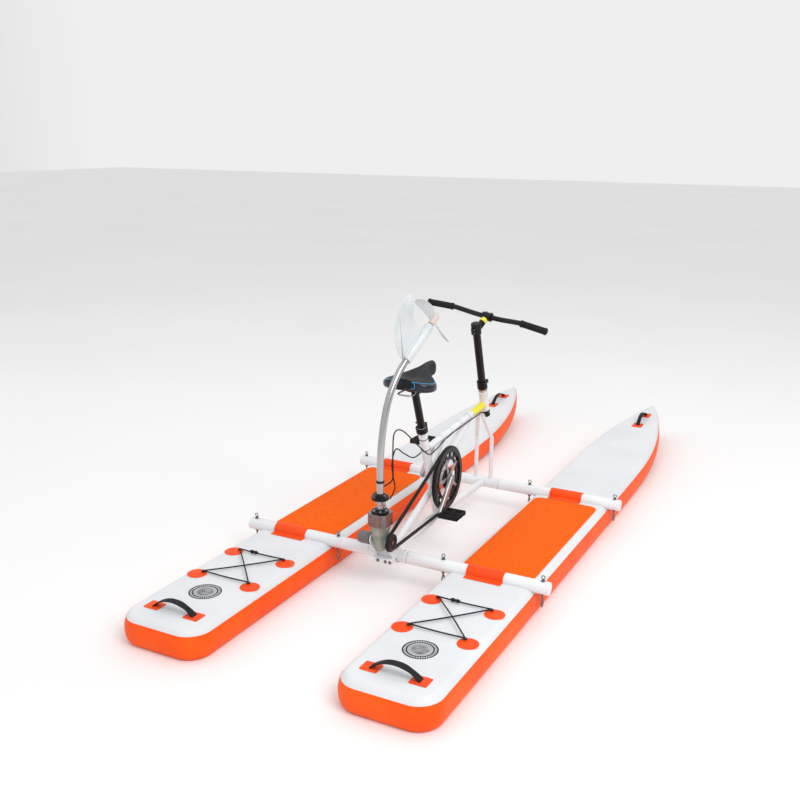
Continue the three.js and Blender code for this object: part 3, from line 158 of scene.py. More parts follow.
def weaveBump(material, shader, where, pitch, strength, distance):
    waves = []
    for axis in ("X", "Y"):
        wave = addNode(
            material,
            "ShaderNodeTexWave",
            {"Scale": 1 / pitch, "Distortion": 0.4, "Detail": 1},
            wave_type="BANDS",
            bands_direction=axis,
        )
        join(material, where, wave.inputs["Vector"])
        waves.append(wave.outputs["Fac"])
    product = addNode(material, "ShaderNodeMath", operation="ADD")
    join(material, waves[0], product.inputs[0])
    join(material, waves[1], product.inputs[1])
    addBump(material, shader, product.outputs[0], strength, distance)


def cellBump(material, shader, where, scale, strength, distance):
    cells = addNode(material, "ShaderNodeTexVoronoi", {"Scale": scale, "Randomness": 0.7})
    join(material, where, cells.inputs["Vector"])
    addBump(material, shader, cells.outputs["Distance"], strength, distance)


def whiteSkinFinish():  # coated deck fabric, faint cloth under the coat, light scuffs
    material, shader, where = startFinish("deckSkin", (0.7, 0.715, 0.735), 0.5, specular=0.35)
    blotch(material, shader, where, (0.67, 0.685, 0.71), (0.73, 0.745, 0.765), 5, 8, 0.2, 0.6)
    weaveBump(material, shader, where, 0.004, 0.12, 0.0006)
    noiseBump(material, shader, where, 9, 0.25, 0.004)
    return material


def orangeSkinFinish(name="wallSkin", base=(1.0, 0.11, 0.002), dark=(0.93, 0.08, 0.001)):
    material, shader, where = startFinish(name, base, 0.5, specular=0.22)
    blotch(material, shader, where, dark, base, 6, 6, 0.3, 0.6)
    weaveBump(material, shader, where, 0.003, 0.15, 0.0005)
    noiseBump(material, shader, where, 14, 0.3, 0.003)
    return material


def foamFinish():  # deck pad: fine pressed pattern in soft foam
    material, shader, where = startFinish("padFoam", (1.0, 0.14, 0.004), 0.85, specular=0.12)
    cells = addNode(material, "ShaderNodeTexVoronoi", {"Scale": 210.0, "Randomness": 1.0})
    ramp = addNode(material, "ShaderNodeValToRGB")
    ramp.color_ramp.elements[0].position = 0.1
    ramp.color_ramp.elements[0].color = (1.0, 0.17, 0.006, 1)
    ramp.color_ramp.elements[1].position = 0.75
    ramp.color_ramp.elements[1].color = (0.86, 0.1, 0.003, 1)
    join(material, where, cells.inputs["Vector"])
    join(material, cells.outputs["Distance"], ramp.inputs["Fac"])
    join(material, ramp.outputs["Color"], shader.inputs["Base Color"])
    addBump(material, shader, cells.outputs["Distance"], 0.7, 0.002)
    return material


def webbingFinish():
    material, shader, where = startFinish("blackWebbing", (0.012, 0.012, 0.014), 0.6, specular=0.25)
    blotch(material, shader, where, (0.007, 0.007, 0.009), (0.02, 0.02, 0.023), 60)
    weaveBump(material, shader, where, 0.0022, 0.6, 0.0008)
    return material


def paintFinish(name, dark, light, roughness, coat, specular=0.5):
    material, shader, where = startFinish(name, light, roughness, coat=coat, specular=specular)
    blotch(material, shader, where, dark, light, 9, 8, 0.1, 0.6)
    roughSpread(material, shader, where, roughness * 0.9, roughness * 1.15, 90)
    noiseBump(material, shader, where, 900, 0.05, 0.0001)
    return material


def steelFinish(name="stainless", tone=0.45, roughness=0.17):
    material, shader, where = startFinish(name, (tone, tone, tone), roughness, metallic=1.0)
    grain = stretched(material, where, (420, 420, 9))
    noise = addNode(material, "ShaderNodeTexNoise", {"Scale": 1.0, "Detail": 3})
    spread = addNode(
        material,
        "ShaderNodeMapRange",
        {"To Min": roughness * 0.75, "To Max": roughness * 1.7},
    )
    join(material, grain, noise.inputs["Vector"])
    join(material, noise.outputs["Fac"], spread.inputs["Value"])
    join(material, spread.outputs["Result"], shader.inputs["Roughness"])
    addBump(material, shader, noise.outputs["Fac"], 0.05, 0.0003)
    return material


def castFinish():  # cast grey case with a warm tint
    material, shader, where = startFinish("castCase", (0.3, 0.33, 0.28), 0.42, metallic=0.45)
    blotch(material, shader, where, (0.22, 0.25, 0.21), (0.36, 0.39, 0.34), 26, 6)
    roughSpread(material, shader, where, 0.3, 0.55, 50)
    noiseBump(material, shader, where, 220, 0.18, 0.0008)
    return material


def rubberFinish(name, tone, cell=0.0, roughness=0.7):
    material, shader, where = startFinish(name, (tone, tone, tone), roughness, specular=0.25)
    blotch(material, shader, where, (tone * 0.7,) * 3, (tone * 1.5,) * 3, 45)
    if cell:
        cellBump(material, shader, where, 1 / cell, 0.6, 0.001)
    else:
        noiseBump(material, shader, where, 260, 0.15, 0.0005)
    return material


def finPlasticFinish():  # milky moulded plastic that lets a little light through
    material, shader, where = startFinish("milkPlastic", (0.6, 0.64, 0.65), 0.36, coat=0.1)
    blotch(material, shader, where, (0.56, 0.6, 0.62), (0.66, 0.7, 0.71), 12)
    shader.inputs["Subsurface Weight"].default_value = 0.06
    shader.inputs["Subsurface Radius"].default_value = (0.004, 0.004, 0.004)
    noiseBump(material, shader, where, 60, 0.06, 0.0006)
    return material


def saddleFinish():  # soft cover with a fine leather grain
    material, shader, where = startFinish("saddleCover", (0.01, 0.012, 0.015), 0.5, specular=0.2)
    blotch(material, shader, where, (0.006, 0.008, 0.01), (0.013, 0.016, 0.02), 30)
    cellBump(material, shader, where, 420, 0.25, 0.0006)
    return material


def panelFinish():  # smooth glossy side panels of the saddle
    material, shader, where = startFinish("saddlePanel", (0.003, 0.007, 0.02), 0.14, coat=0.3, specular=0.4)
    blotch(material, shader, where, (0.002, 0.004, 0.012), (0.006, 0.012, 0.03), 22)
    noiseBump(material, shader, where, 70, 0.05, 0.0004)
    return material


deckSkin = whiteSkinFinish()
wallSkin = orangeSkinFinish()
patchSkin = orangeSkinFinish("patchSkin", (0.92, 0.082, 0.005), (0.8, 0.055, 0.003))
padFoam = foamFinish()
webbing = webbingFinish()
whitePaint = paintFinish("whitePaint", (0.72, 0.73, 0.76), (0.79, 0.8, 0.82), 0.26, 0.3)
blackPaint = paintFinish("blackPaint", (0.003, 0.003, 0.004), (0.007, 0.007, 0.008), 0.26, 0.06, 0.22)
stainless = steelFinish()
crankAlloy = steelFinish("crankAlloy", 0.46, 0.3)
castCase = castFinish()
milledCase = steelFinish("milledCase", 0.24, 0.2)
drumSteel = steelFinish("drumSteel", 0.2, 0.34)
dullSteel = steelFinish("dullSteel", 0.2, 0.36)
beltRubber = rubberFinish("beltRubber", 0.012)
wheelPlastic = rubberFinish("wheelPlastic", 0.008, roughness=0.34)
gripRubber = rubberFinish("gripRubber", 0.009, cell=0.004)
cordCover = rubberFinish("cordCover", 0.01, cell=0.0016, roughness=0.6)
valvePlastic = rubberFinish("valvePlastic", 0.24, roughness=0.45)
milkPlastic = finPlasticFinish()
saddleCover = saddleFinish()
saddlePanel = panelFinish()
bluePiping = paintFinish("bluePiping", (0.01, 0.2, 0.42), (0.02, 0.3, 0.6), 0.35, 0.2)
yellowTape = paintFinish("yellowTape", (0.75, 0.62, 0.02), (0.88, 0.78, 0.04), 0.45, 0.1)
printInk = paintFinish("printInk", (0.008, 0.008, 0.01), (0.018, 0.018, 0.02), 0.55, 0.0, 0.2)
greyInk = paintFinish("greyInk", (0.3, 0.31, 0.33), (0.42, 0.43, 0.45), 0.55, 0.0)
bronze = paintFinish("bronzeNut", (0.5, 0.38, 0.33), (0.66, 0.54, 0.48), 0.4, 0.1)
print("finishes made")


# modelling helpers
def addTube(bm, start, end, radius, endRadius=None, sides=40):
    span = end - start
    turn = span.to_track_quat("Z", "Y").to_matrix().to_4x4()
    made = bmesh.ops.create_cone(
        bm,
        cap_ends=True,
        segments=sides,
        radius1=radius * mm,
        radius2=(radius if endRadius is None else endRadius) * mm,
        depth=span.length,
        matrix=Matrix.Translation((start + end) / 2) @ turn,
    )
    return made["verts"]


def addBlock(bm, size, centre, turn=None):
    scale = Matrix.Diagonal((size[0] * mm, size[1] * mm, size[2] * mm, 1))
    spot = Matrix.Translation(centre) @ (turn or Matrix()) @ scale
    return bmesh.ops.create_cube(bm, size=1, matrix=spot)["verts"]


def addLathe(bm, profile, origin, along, steps=48):
    axis = along.normalized()
    out = axis.orthogonal().normalized()
    verts = [bm.verts.new(origin + out * r * mm + axis * h * mm) for r, h in profile]
    edges = [bm.edges.new(pair) for pair in zip(verts, verts[1:])]
    made = bmesh.ops.spin(
        bm,
        geom=verts + edges,
        cent=origin,
        axis=axis,
        angle=math.tau,
        steps=steps,
        use_merge=True,
    )
    return made


def addRing(bm, centre, along, radius, wire, steps=32, sides=12):
    axis = along.normalized()
    out = axis.orthogonal().normalized()
    spot = centre + out * radius * mm
    basis = Matrix((out, axis, out.cross(axis))).transposed().to_4x4()
    circle = bmesh.ops.create_circle(
        bm, segments=sides, radius=wire * mm, matrix=Matrix.Translation(spot) @ basis
    )["verts"]
    edges = list({edge for vert in circle for edge in vert.link_edges})
    bmesh.ops.spin(
        bm,
        geom=circle + edges,
        cent=centre,
        axis=axis,
        angle=math.tau,
        steps=steps,
        use_merge=True,
    )


def addSheetShape(bm, points, depth):  # a flat outline given depth, a vector
    verts = [bm.verts.new(point) for point in points]
    face = bm.faces.new(verts)
    made = bmesh.ops.extrude_face_region(bm, geom=[face])
    moved = [item for item in made["geom"] if isinstance(item, bmesh.types.BMVert)]
    bmesh.ops.translate(bm, verts=moved, vec=depth)
    return verts + moved


def roundEdges(bm, edges, width, segments, clamp=False):
    bmesh.ops.bevel(
        bm,
        geom=edges,
        offset=width * mm,
        segments=segments,
        profile=0.5,
        affect="EDGES",
        clamp_overlap=clamp,
        material=-1,
    )


def softenEdges(bm, width, segments=2, angle=35):
    bmesh.ops.remove_doubles(bm, verts=bm.verts, dist=weldGap)
    sharp = [
        edge
        for edge in bm.edges
        if len(edge.link_faces) == 2 and edge.calc_face_angle(0) > math.radians(angle)
    ]
    roundEdges(bm, sharp, width, segments, clamp=True)


def dressPiece(piece, body, nodes):  # what a piece rides on and what it stands for
    bpy.context.scene.collection.objects.link(piece)
    if body:
        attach(piece, body)
    if nodes:
        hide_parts(*nodes)
    return piece


def finishPiece(name, bm, body, material, nodes=(), crease=38):
    bmesh.ops.remove_doubles(bm, verts=bm.verts, dist=weldGap)
    bmesh.ops.recalc_face_normals(bm, faces=bm.faces)
    mesh = bpy.data.meshes.new(name)
    bm.to_mesh(mesh)
    bm.free()
    for entry in material if isinstance(material, list) else [material]:
        mesh.materials.append(entry)
    mesh.shade_smooth()
    mesh.set_sharp_from_angle(angle=math.radians(crease))
    return dressPiece(bpy.data.objects.new(name, mesh), body, nodes)


def cordPiece(name, routes, radius, body, material, nodes):
    curve = bpy.data.curves.new(name, "CURVE")
    curve.dimensions = "3D"
    curve.bevel_depth = radius * mm
    curve.bevel_resolution = 4
    curve.resolution_u = 8
    curve.use_fill_caps = True
    for route in routes:
        spline = curve.splines.new("NURBS")
        spline.points.add(len(route) - 1)
        for point, spot in zip(spline.points, route):
            point.co = (*spot, 1)
        spline.order_u = 4
        spline.use_endpoint_u = True
    curve.materials.append(material)
    return dressPiece(bpy.data.objects.new(name, curve), body, nodes)


def loftRows(bm, rows, capped=True):  # a skin over closed rows of points
    loop = [bm.verts.new(point) for point in rows[0]]
    edges = [bm.edges.new((loop[i], loop[(i + 1) % len(loop)])) for i in range(len(loop))]
    first = loop
    for row in rows[1:]:
        made = bmesh.ops.extrude_edge_only(bm, edges=edges)
        fresh = {item for item in made["geom"] if isinstance(item, bmesh.types.BMVert)}
        loop = [
            next(edge.other_vert(vert) for edge in vert.link_edges if edge.other_vert(vert) in fresh)
            for vert in loop
        ]
        for vert, point in zip(loop, row):
            vert.co = point
        edges = [
            item
            for item in made["geom"]
            if isinstance(item, bmesh.types.BMEdge)
            and item.verts[0] in fresh
            and item.verts[1] in fresh
        ]
    if capped:
        bm.faces.new(first)
        bm.faces.new(loop)
    return first, loop


def smoothPath(points, steps=8):  # a smooth curve through the points
    path = []
    ends = [points[0] * 2 - points[1], *points, points[-1] * 2 - points[-2]]
    for a, b, c, d in zip(ends, ends[1:], ends[2:], ends[3:]):
        for step in range(steps):
            t = step / steps
            path.append(
                0.5
                * (
                    b * 2
                    + (c - a) * t
                    + (a * 2 - b * 5 + c * 4 - d) * t**2
                    + (b * 3 - a - c * 3 + d) * t**3
                )
            )
    return [*path, points[-1].copy()]


def capsuleOutline(start, end, startRadius, endRadius, steps=24):  # (forward, height) pairs
    reach = end[0] - start[0]
    rise = end[1] - start[1]
    heading = math.atan2(rise, reach)
    lean = math.acos((startRadius - endRadius) / math.hypot(reach, rise))
    points = []
    for step in range(steps + 1):
        angle = heading + lean + (math.tau - 2 * lean) * step / steps
        points.append((start[0] + startRadius * math.cos(angle), start[1] + startRadius * math.sin(angle)))
    for step in range(steps + 1):
        angle = heading - lean + 2 * lean * step / steps
        points.append((end[0] + endRadius * math.cos(angle), end[1] + endRadius * math.sin(angle)))
    return points


def appendMesh(bm, other):  # adds one bmesh to another
    carrier = bpy.data.meshes.new("carrier")
    other.to_mesh(carrier)
    other.free()
    bm.from_mesh(carrier)
    bpy.data.meshes.remove(carrier)


def addPlate(bm, points, depth, width, segments, angle):  # a plate with softened edges
    plate = bmesh.new()
    addSheetShape(plate, points, depth)
    bmesh.ops.recalc_face_normals(plate, faces=plate.faces)
    softenEdges(plate, width, segments, angle)
    appendMesh(bm, plate)


def ringProfile(inner, outer, low, high, cut=1):  # a band with its two outer corners cut
    return [
        (inner, low), (outer - cut, low), (outer, low + cut), (outer, high - cut),
        (outer - cut, high), (inner, high), (inner, low),
    ]


def tubeRows(points, radius, sides=40):  # rings square to a path, without twist
    rows = []
    normal = None
    for index, point in enumerate(points):
        before = points[max(0, index - 1)]
        after = points[min(len(points) - 1, index + 1)]
        tangent = (after - before).normalized()
        if normal is None:
            normal = tangent.orthogonal()
        normal = (normal - tangent * normal.dot(tangent)).normalized()
        binormal = tangent.cross(normal)
        size = radius(index / (len(points) - 1)) if callable(radius) else radius
        rows.append(
            [
                point + (normal * math.cos(a) + binormal * math.sin(a)) * size * mm
                for a in [corner / sides * math.tau for corner in range(sides)]
            ]
        )
    return rows


# boards: sizes in millimetres, and shares where a name ends in share
board = {
    "centre": 420,
    "halfWidth": 176,
    "height": 110.5,
    "middle": 48,
    "deckInset": 36,
    "keelInset": 22,
    "corner": 90,
    "taperFrom": 2312,
    "riseFrom": 1912,
    "rise": 70,
    "nose": (2.1, 0.9),  # the powers that round the bow's outline
    "colourLevel": 13,
    "pinch": 3.5,
    "pinchReach": 30,
    "pinchHeight": (50, 60),
    "seam": 1.1,
    "firstRow": 150,
    "rowSpacing": 60,
    "barRows": (30, 38, 48),
    "barGap": 55,
    "barSteps": 12,
    "cornerSteps": 12,
    "taperSteps": 34,
    "wallSteps": 18,
}
bars = {"forward": (852.4, 1761), "height": 116.8, "radius": 24, "halfSpan": 640, "press": 0.3}
grooveRadius = bars["radius"] + bars["press"]


def riseAt(forward):
    share = max(0, (forward - board["riseFrom"]) / (hullLength - board["riseFrom"]))
    return board["rise"] * share * share


def boardStations():  # rows across the board: (kind, value), closer together at the bars
    steps = board["barSteps"]
    rows = [("corner", step / board["cornerSteps"]) for step in range(board["cornerSteps"] + 1)]
    spots = set(range(board["firstRow"], board["taperFrom"], board["rowSpacing"]))
    for bar in bars["forward"]:
        spots = {spot for spot in spots if abs(spot - bar) > board["barGap"]}
        for step in range(-steps, steps + 1):
            spots.add(bar + grooveRadius * math.sin(step / steps * math.pi / 2))
        for reach in board["barRows"]:
            spots.add(bar - reach)
            spots.add(bar + reach)
    rows += [("straight", spot) for spot in sorted(spots)]
    rows += [("taper", step / board["taperSteps"]) for step in range(board["taperSteps"] + 1)]
    return rows


def outlineSpot(row, inset):
    kind, value = row
    half = board["halfWidth"]
    if kind == "corner":
        radius = board["corner"] - inset
        angle = value * math.pi / 2
        across = half - board["corner"] + radius * math.sin(angle)
        return across, inset + radius * (1 - math.cos(angle))
    if kind == "straight":
        return half - inset, value
    share = math.sin(value * math.pi / 2)
    inner, outer = board["nose"]
    width = max(0, 1 - share**inner) ** outer
    reach = hullLength - inset - board["taperFrom"]
    return (half - inset) * width, board["taperFrom"] + reach * share


def pinchAt(forward):
    return sum(
        math.exp(-(((forward - bar) / board["pinchReach"]) ** 2)) for bar in bars["forward"]
    )


def grooveAt(forward, height):  # the deck is pressed down under each cross bar
    for bar in bars["forward"]:
        off = abs(forward - bar)
        if off <= grooveRadius:
            floor = bars["height"] - math.sqrt(max(0, grooveRadius**2 - off**2))
            height = min(height, floor)
    return height


def wallLevel(level):
    angle = (level / board["wallSteps"] - 0.5) * math.pi
    lower = angle < 0
    inset = (board["keelInset"] if lower else board["deckInset"]) * (1 - math.cos(angle))
    reach = board["middle"] if lower else board["height"] - board["middle"]
    return inset, board["middle"] + reach * math.sin(angle)


def makeBoard(label, centre):
    bm = bmesh.new()
    rows = boardStations()
    levels = [wallLevel(level) for level in range(board["wallSteps"] + 1)]
    around = [(1, row) for row in rows] + [(-1, row) for row in reversed(rows[:-1])]

    def spot(sign, row, inset, height):
        across, forward = outlineSpot(row, inset)
        level, reach = board["pinchHeight"]
        swell = math.cos((height - level) / reach * math.pi / 2)
        squeeze = max(0, board["pinch"] * pinchAt(forward) * swell)
        low = grooveAt(forward, height)
        return place(centre + sign * max(0, across - squeeze), forward, low + riseAt(forward))

    skins = [[spot(sign, row, *level) for sign, row in around] for level in levels]
    first, last = loftRows(bm, skins, capped=False)
    count = len(rows) - 1
    for ring in (first, last):
        for row in range(count):
            right, rightNext = ring[row], ring[row + 1]
            left, leftNext = ring[2 * count - row], ring[2 * count - row - 1]
            corners = [right, rightNext, leftNext, left]
            if rightNext is leftNext:
                corners = [right, rightNext, left]
            bm.faces.new(corners)
    bmesh.ops.recalc_face_normals(bm, faces=bm.faces)
    edgeHeight = wallLevel(board["colourLevel"])[1]
    for face in bm.faces:
        middle = face.calc_center_median()
        forward = middle.y / mm + hullLength / 2
        flat = middle.z / mm - riseAt(forward)
        pressed = any(abs(forward - bar) < grooveRadius for bar in bars["forward"])
        above = flat > edgeHeight or (pressed and face.normal.z > 0.3 and flat > edgeHeight - 3)
        face.material_index = 0 if above else 1
    return finishPiece(
        f"board_{label}",
        bm,
        "base",
        [deckSkin, wallSkin],
        [f"hull_{label}"],
        crease=60,
    )


def makeSeam(label, centre):  # the welded tape where deck and wall meet
    rows = boardStations()
    inset, edgeHeight = wallLevel(board["colourLevel"])
    route = []
    for sign, row in [(1, row) for row in rows] + [(-1, row) for row in reversed(rows[:-1])]:
        across, forward = outlineSpot(row, inset)
        squeeze = board["pinch"] * pinchAt(forward) * 0.5
        height = grooveAt(forward, edgeHeight)
        route.append(place(centre + sign * max(0, across - squeeze), forward, height + riseAt(forward)))
    rings = tubeRows([*route, route[0].copy()], board["seam"], 8)
    rings[-1] = [point.copy() for point in rings[0]]
    bm = bmesh.new()
    loftRows(bm, rings, capped=False)
    finishPiece(f"boardSeam_{label}", bm, "base", wallSkin, crease=80)


boards = (("starboard", 1), ("port", -1))
for label, sign in boards:
    makeBoard(label, sign * board["centre"])
    makeSeam(label, sign * board["centre"])
print("boards made")

pad = {
    "half": 140,
    "rear": 906,
    "front": 1700,
    "thick": 4,
    "corners": (12, 35),
    "base": 110.8,
    "edge": 1.2,
}


def makePad(label, centre):
    bm = bmesh.new()
    middle = place(centre, (pad["rear"] + pad["front"]) / 2, pad["base"] + pad["thick"] / 2)
    addBlock(bm, (pad["half"] * 2, pad["front"] - pad["rear"], pad["thick"]), middle)
    square = 1.2  # radians, more than any edge that is already round
    for radius, front in zip(pad["corners"], (False, True)):
        upright = [
            edge
            for edge in bm.edges
            if abs(edge.verts[0].co.z - edge.verts[1].co.z) > pad["thick"] * mm / 2
            and (edge.verts[0].co.y > middle.y) == front
            and edge.calc_face_angle(0) > square
        ]
        roundEdges(bm, upright, radius, 10)
    rim = [edge for edge in bm.edges if edge.calc_face_angle(0) > square]
    roundEdges(bm, rim, pad["edge"], 3)
    finishPiece(f"footPad_{label}", bm, "base", padFoam, [f"deck_pad_{label}"])


for label, sign in boards:
    makePad(label, sign * board["centre"])

wrap = {
    "width": 143.6,
    "shift": 20,
    "thick": 2.8,
    "flapThick": 2.6,
    "gap": 0.35,
    "rearFlap": 24,
    "frontFlap": 10,
    "fold": ((5, 0), (1.5, 1)),  # (past the bar, above the flap)
    "foldRise": 3,
    "steps": 28,
    "edge": 0.7,
}


def makeWrap(label, placeName, centre, forward):  # the fabric that holds a cross bar to the deck
    bm = bmesh.new()
    steps, fold = wrap["steps"], wrap["fold"]
    inner = bars["radius"] + wrap["gap"]
    outer = inner + wrap["thick"]
    low = board["height"] + wrap["gap"] - bars["height"]
    top = low + wrap["flapThick"]
    outline = [(-outer - wrap["rearFlap"], low), (-outer - wrap["rearFlap"], top)]
    outline += [(-outer - past, top + above) for past, above in fold]
    startOut = math.asin((top + wrap["foldRise"]) / outer)
    startIn = math.asin(low / inner)
    for step in range(steps + 1):
        angle = math.pi - startOut - (math.pi - 2 * startOut) * step / steps
        outline.append((outer * math.cos(angle), outer * math.sin(angle)))
    outline += [(outer + past, top + above) for past, above in reversed(fold)]
    outline.append((outer + wrap["frontFlap"], top))
    outline.append((outer + wrap["frontFlap"], low))
    for step in range(steps + 1):
        angle = startIn + (math.pi - 2 * startIn) * step / steps
        outline.append((inner * math.cos(angle), inner * math.sin(angle)))
    left = centre - wrap["shift"] - wrap["width"] / 2
    points = [place(left, forward + y, bars["height"] + z) for y, z in outline]
    addSheetShape(bm, points, side * wrap["width"] * mm)
    softenEdges(bm, wrap["edge"], 2, 60)
    spot = f"{placeName}_{label}"
    nodes = [f"bar_sleeve_{spot}"]
    cloth = finishPiece(f"barWrap_{spot}", bm, "base", patchSkin, nodes)


for label, sign in boards:
    for placeName, forward in zip(("rear", "front"), bars["forward"]):
        makeWrap(label, placeName, sign * board["centre"], forward)
print("pads and wraps made")

carry = {
    "stern": 108.8,
    "bow": 2973,
    "lift": {"stern": 0.3, "bow": 0.9},
    "half": 83,
    "rise": 38,
    "foot": (2.4, 0.3),
    "fullness": 2.2,
    "patch": (60, 52, 2),
    "corner": 5,
    "strap": {"stern": (26, 4), "bow": (20, 4)},
    "edges": (0.6, 1.1),
    "steps": 28,
    "pinchShare": 0.16,
    "foldShares": (0.62, 0.16),
}


def makeCarry(label, centre, end):
    bow = end == "bow"
    forward = carry[end]
    deck = board["height"] + riseAt(forward) + carry["lift"][end]
    slope = 0.0
    if bow:
        span = hullLength - board["riseFrom"]
        slope = math.atan(2 * board["rise"] * (forward - board["riseFrom"]) / span**2)
    turn = Matrix.Rotation(slope, 4, "X") @ Matrix.Rotation(math.pi / 2 if bow else 0, 4, "Z")
    spot = Matrix.Translation(place(centre, forward, deck)) @ turn
    patchEdge, strapEdge = carry["edges"]
    patches = bmesh.new()
    for sign in (-1, 1):
        middle = Vector((sign * carry["half"], 0, carry["patch"][2] / 2)) * mm
        addBlock(patches, carry["patch"], middle)
    upright = [edge for edge in patches.edges if abs((edge.verts[0].co - edge.verts[1].co).z) > mm]
    roundEdges(patches, upright, carry["corner"], 5)
    softenEdges(patches, patchEdge, 2, 60)
    bmesh.ops.transform(patches, matrix=spot, verts=patches.verts)
    finishPiece(f"carryPatches_{end}_{label}", patches, "base", patchSkin)
    strap = bmesh.new()
    width, thick = carry["strap"][end]
    upperFoot, lowerFoot = carry["foot"]
    reach = carry["half"] + thick
    above, below = [], []
    for step in range(carry["steps"] + 1):
        across = math.sin((step / carry["steps"] - 0.5) * math.pi)
        lift = 1 - abs(across) ** carry["fullness"]
        rise = carry["rise"]
        above.append(Vector((reach * across, 0, upperFoot + (rise - upperFoot) * lift)) * mm)
        below.append(Vector(((reach - thick) * across, 0, lowerFoot + (rise - thick) * lift)) * mm)
    half = Vector((0, width / 2 * mm, 0))
    addSheetShape(strap, [point - half for point in above + below[::-1]], half * 2)
    foldAt, foldReach = carry["foldShares"]
    for vert in strap.verts:  # the web narrows where it folds into the grip
        across = min(1, abs(vert.co.x) / (reach * mm))
        vert.co.y *= 1 - carry["pinchShare"] * math.exp(-(((across - foldAt) / foldReach) ** 2))
    softenEdges(strap, strapEdge, 2, 60)
    bmesh.ops.transform(strap, matrix=spot, verts=strap.verts)
    nodes = [f"{end}_handle_{label}"]
    finishPiece(f"carryStrap_{end}_{label}", strap, "base", webbing, nodes)


for label, sign in boards:
    for end in ("stern", "bow"):
        makeCarry(label, sign * board["centre"], end)

net = {
    "half": 100,
    "rows": (388.8, 609.7),
    "lift": 0.3,
    "cord": 2.6,
    "height": 9.5,
    "cross": 6,  # the diagonal that passes over the other one
    "sag": -2.2,
    "steps": 8,
    "turn": (5, -2),
    "patch": 36,
    "patchThick": 1.6,
    "shift": (17, 15),
    "tab": (16, 13, 2),
    "tabAt": (4, 2.4),
    "ring": (4.6, 1.1),
    "ringHeight": 5.6,
    "lock": (34, 17),
}


def makeNet(label, centre):
    deck = board["height"] + net["lift"]
    corners = [(x, forward) for forward in net["rows"] for x in (-net["half"], net["half"])]
    patches = bmesh.new()
    loops = bmesh.new()
    outside, astern = net["shift"]
    tabReach, tabHeight = net["tabAt"]
    for x, forward in corners:
        outward = math.copysign(1, x)
        low = place(centre + x + outward * outside, forward - astern, deck)
        addTube(patches, low, low + up * net["patchThick"] * mm, net["patch"], sides=48)
        addBlock(patches, net["tab"], place(centre + x + outward * tabReach, forward, deck + tabHeight))
        ring = place(centre + x, forward, deck + net["ringHeight"])
        addRing(loops, ring, Vector((0.3, 1, 0)), *net["ring"], 24, 8)
    softenEdges(patches, 0.5, 2, 60)
    finishPiece(f"netPatches_{label}", patches, "base", patchSkin)
    finishPiece(f"netLoops_{label}", loops, "base", stainless)
    hooks = [place(centre + x, forward, deck + net["height"]) for x, forward in corners]
    routes = []
    for index in range(4):
        start, end = hooks[index], hooks[(index + 1) % 4]
        bow = net["cross"] if index == 1 else net["sag"]
        route = []
        for step in range(net["steps"] + 1):
            share = step / net["steps"]
            route.append(start.lerp(end, share) + up * bow * math.sin(share * math.pi) * mm)
        routes.append(route)
    radius, drop = net["turn"]
    for hook in hooks:  # a turn of cord round each ring
        angles = [step / net["steps"] * math.tau for step in range(net["steps"] + 1)]
        turns = [Vector((math.cos(a) * radius, math.sin(a) * radius, drop)) * mm for a in angles]
        routes.append([hook + turn for turn in turns])
    nodes = [f"bungee_net_{label}"]
    cordPiece(f"netCord_{label}", routes, net["cord"], "base", cordCover, nodes)
    lock = bmesh.new()
    offset, half = net["lock"]
    middle = hooks[2].lerp(hooks[3], 0.5) - side * offset * mm
    profile = [
        (0, -half), (4, -half), (6.5, -14), (6.5, -4), (4.6, -2),
        (4.6, 3), (6.2, 5), (6.2, 12), (4, half), (0, half),
    ]
    addLathe(lock, profile, middle, side, 20)
    finishPiece(f"cordLock_{label}", lock, "base", gripRubber)


for label, sign in boards:
    makeNet(label, sign * board["centre"])

valve = {
    "forward": 272.5,
    "flange": 28.5,
    "well": 23,
    "depth": 26,
    "cup": 19,
    "cupDepth": 23,
    "cap": 18.4,
    "capDepth": 9.5,
    "bar": (27, 5.4, 3.4),
}
ringPrint = {
    "bands": ((58, 52.8), (46, 41.2)),
    "ticks": 40,
    "tick": (3.4, 5),
    "radius": 49.4,
    "disc": (28.8, 41.4),
    "ink": (0.05, 0.25),
    "discInk": (0.02, 0.18),
}


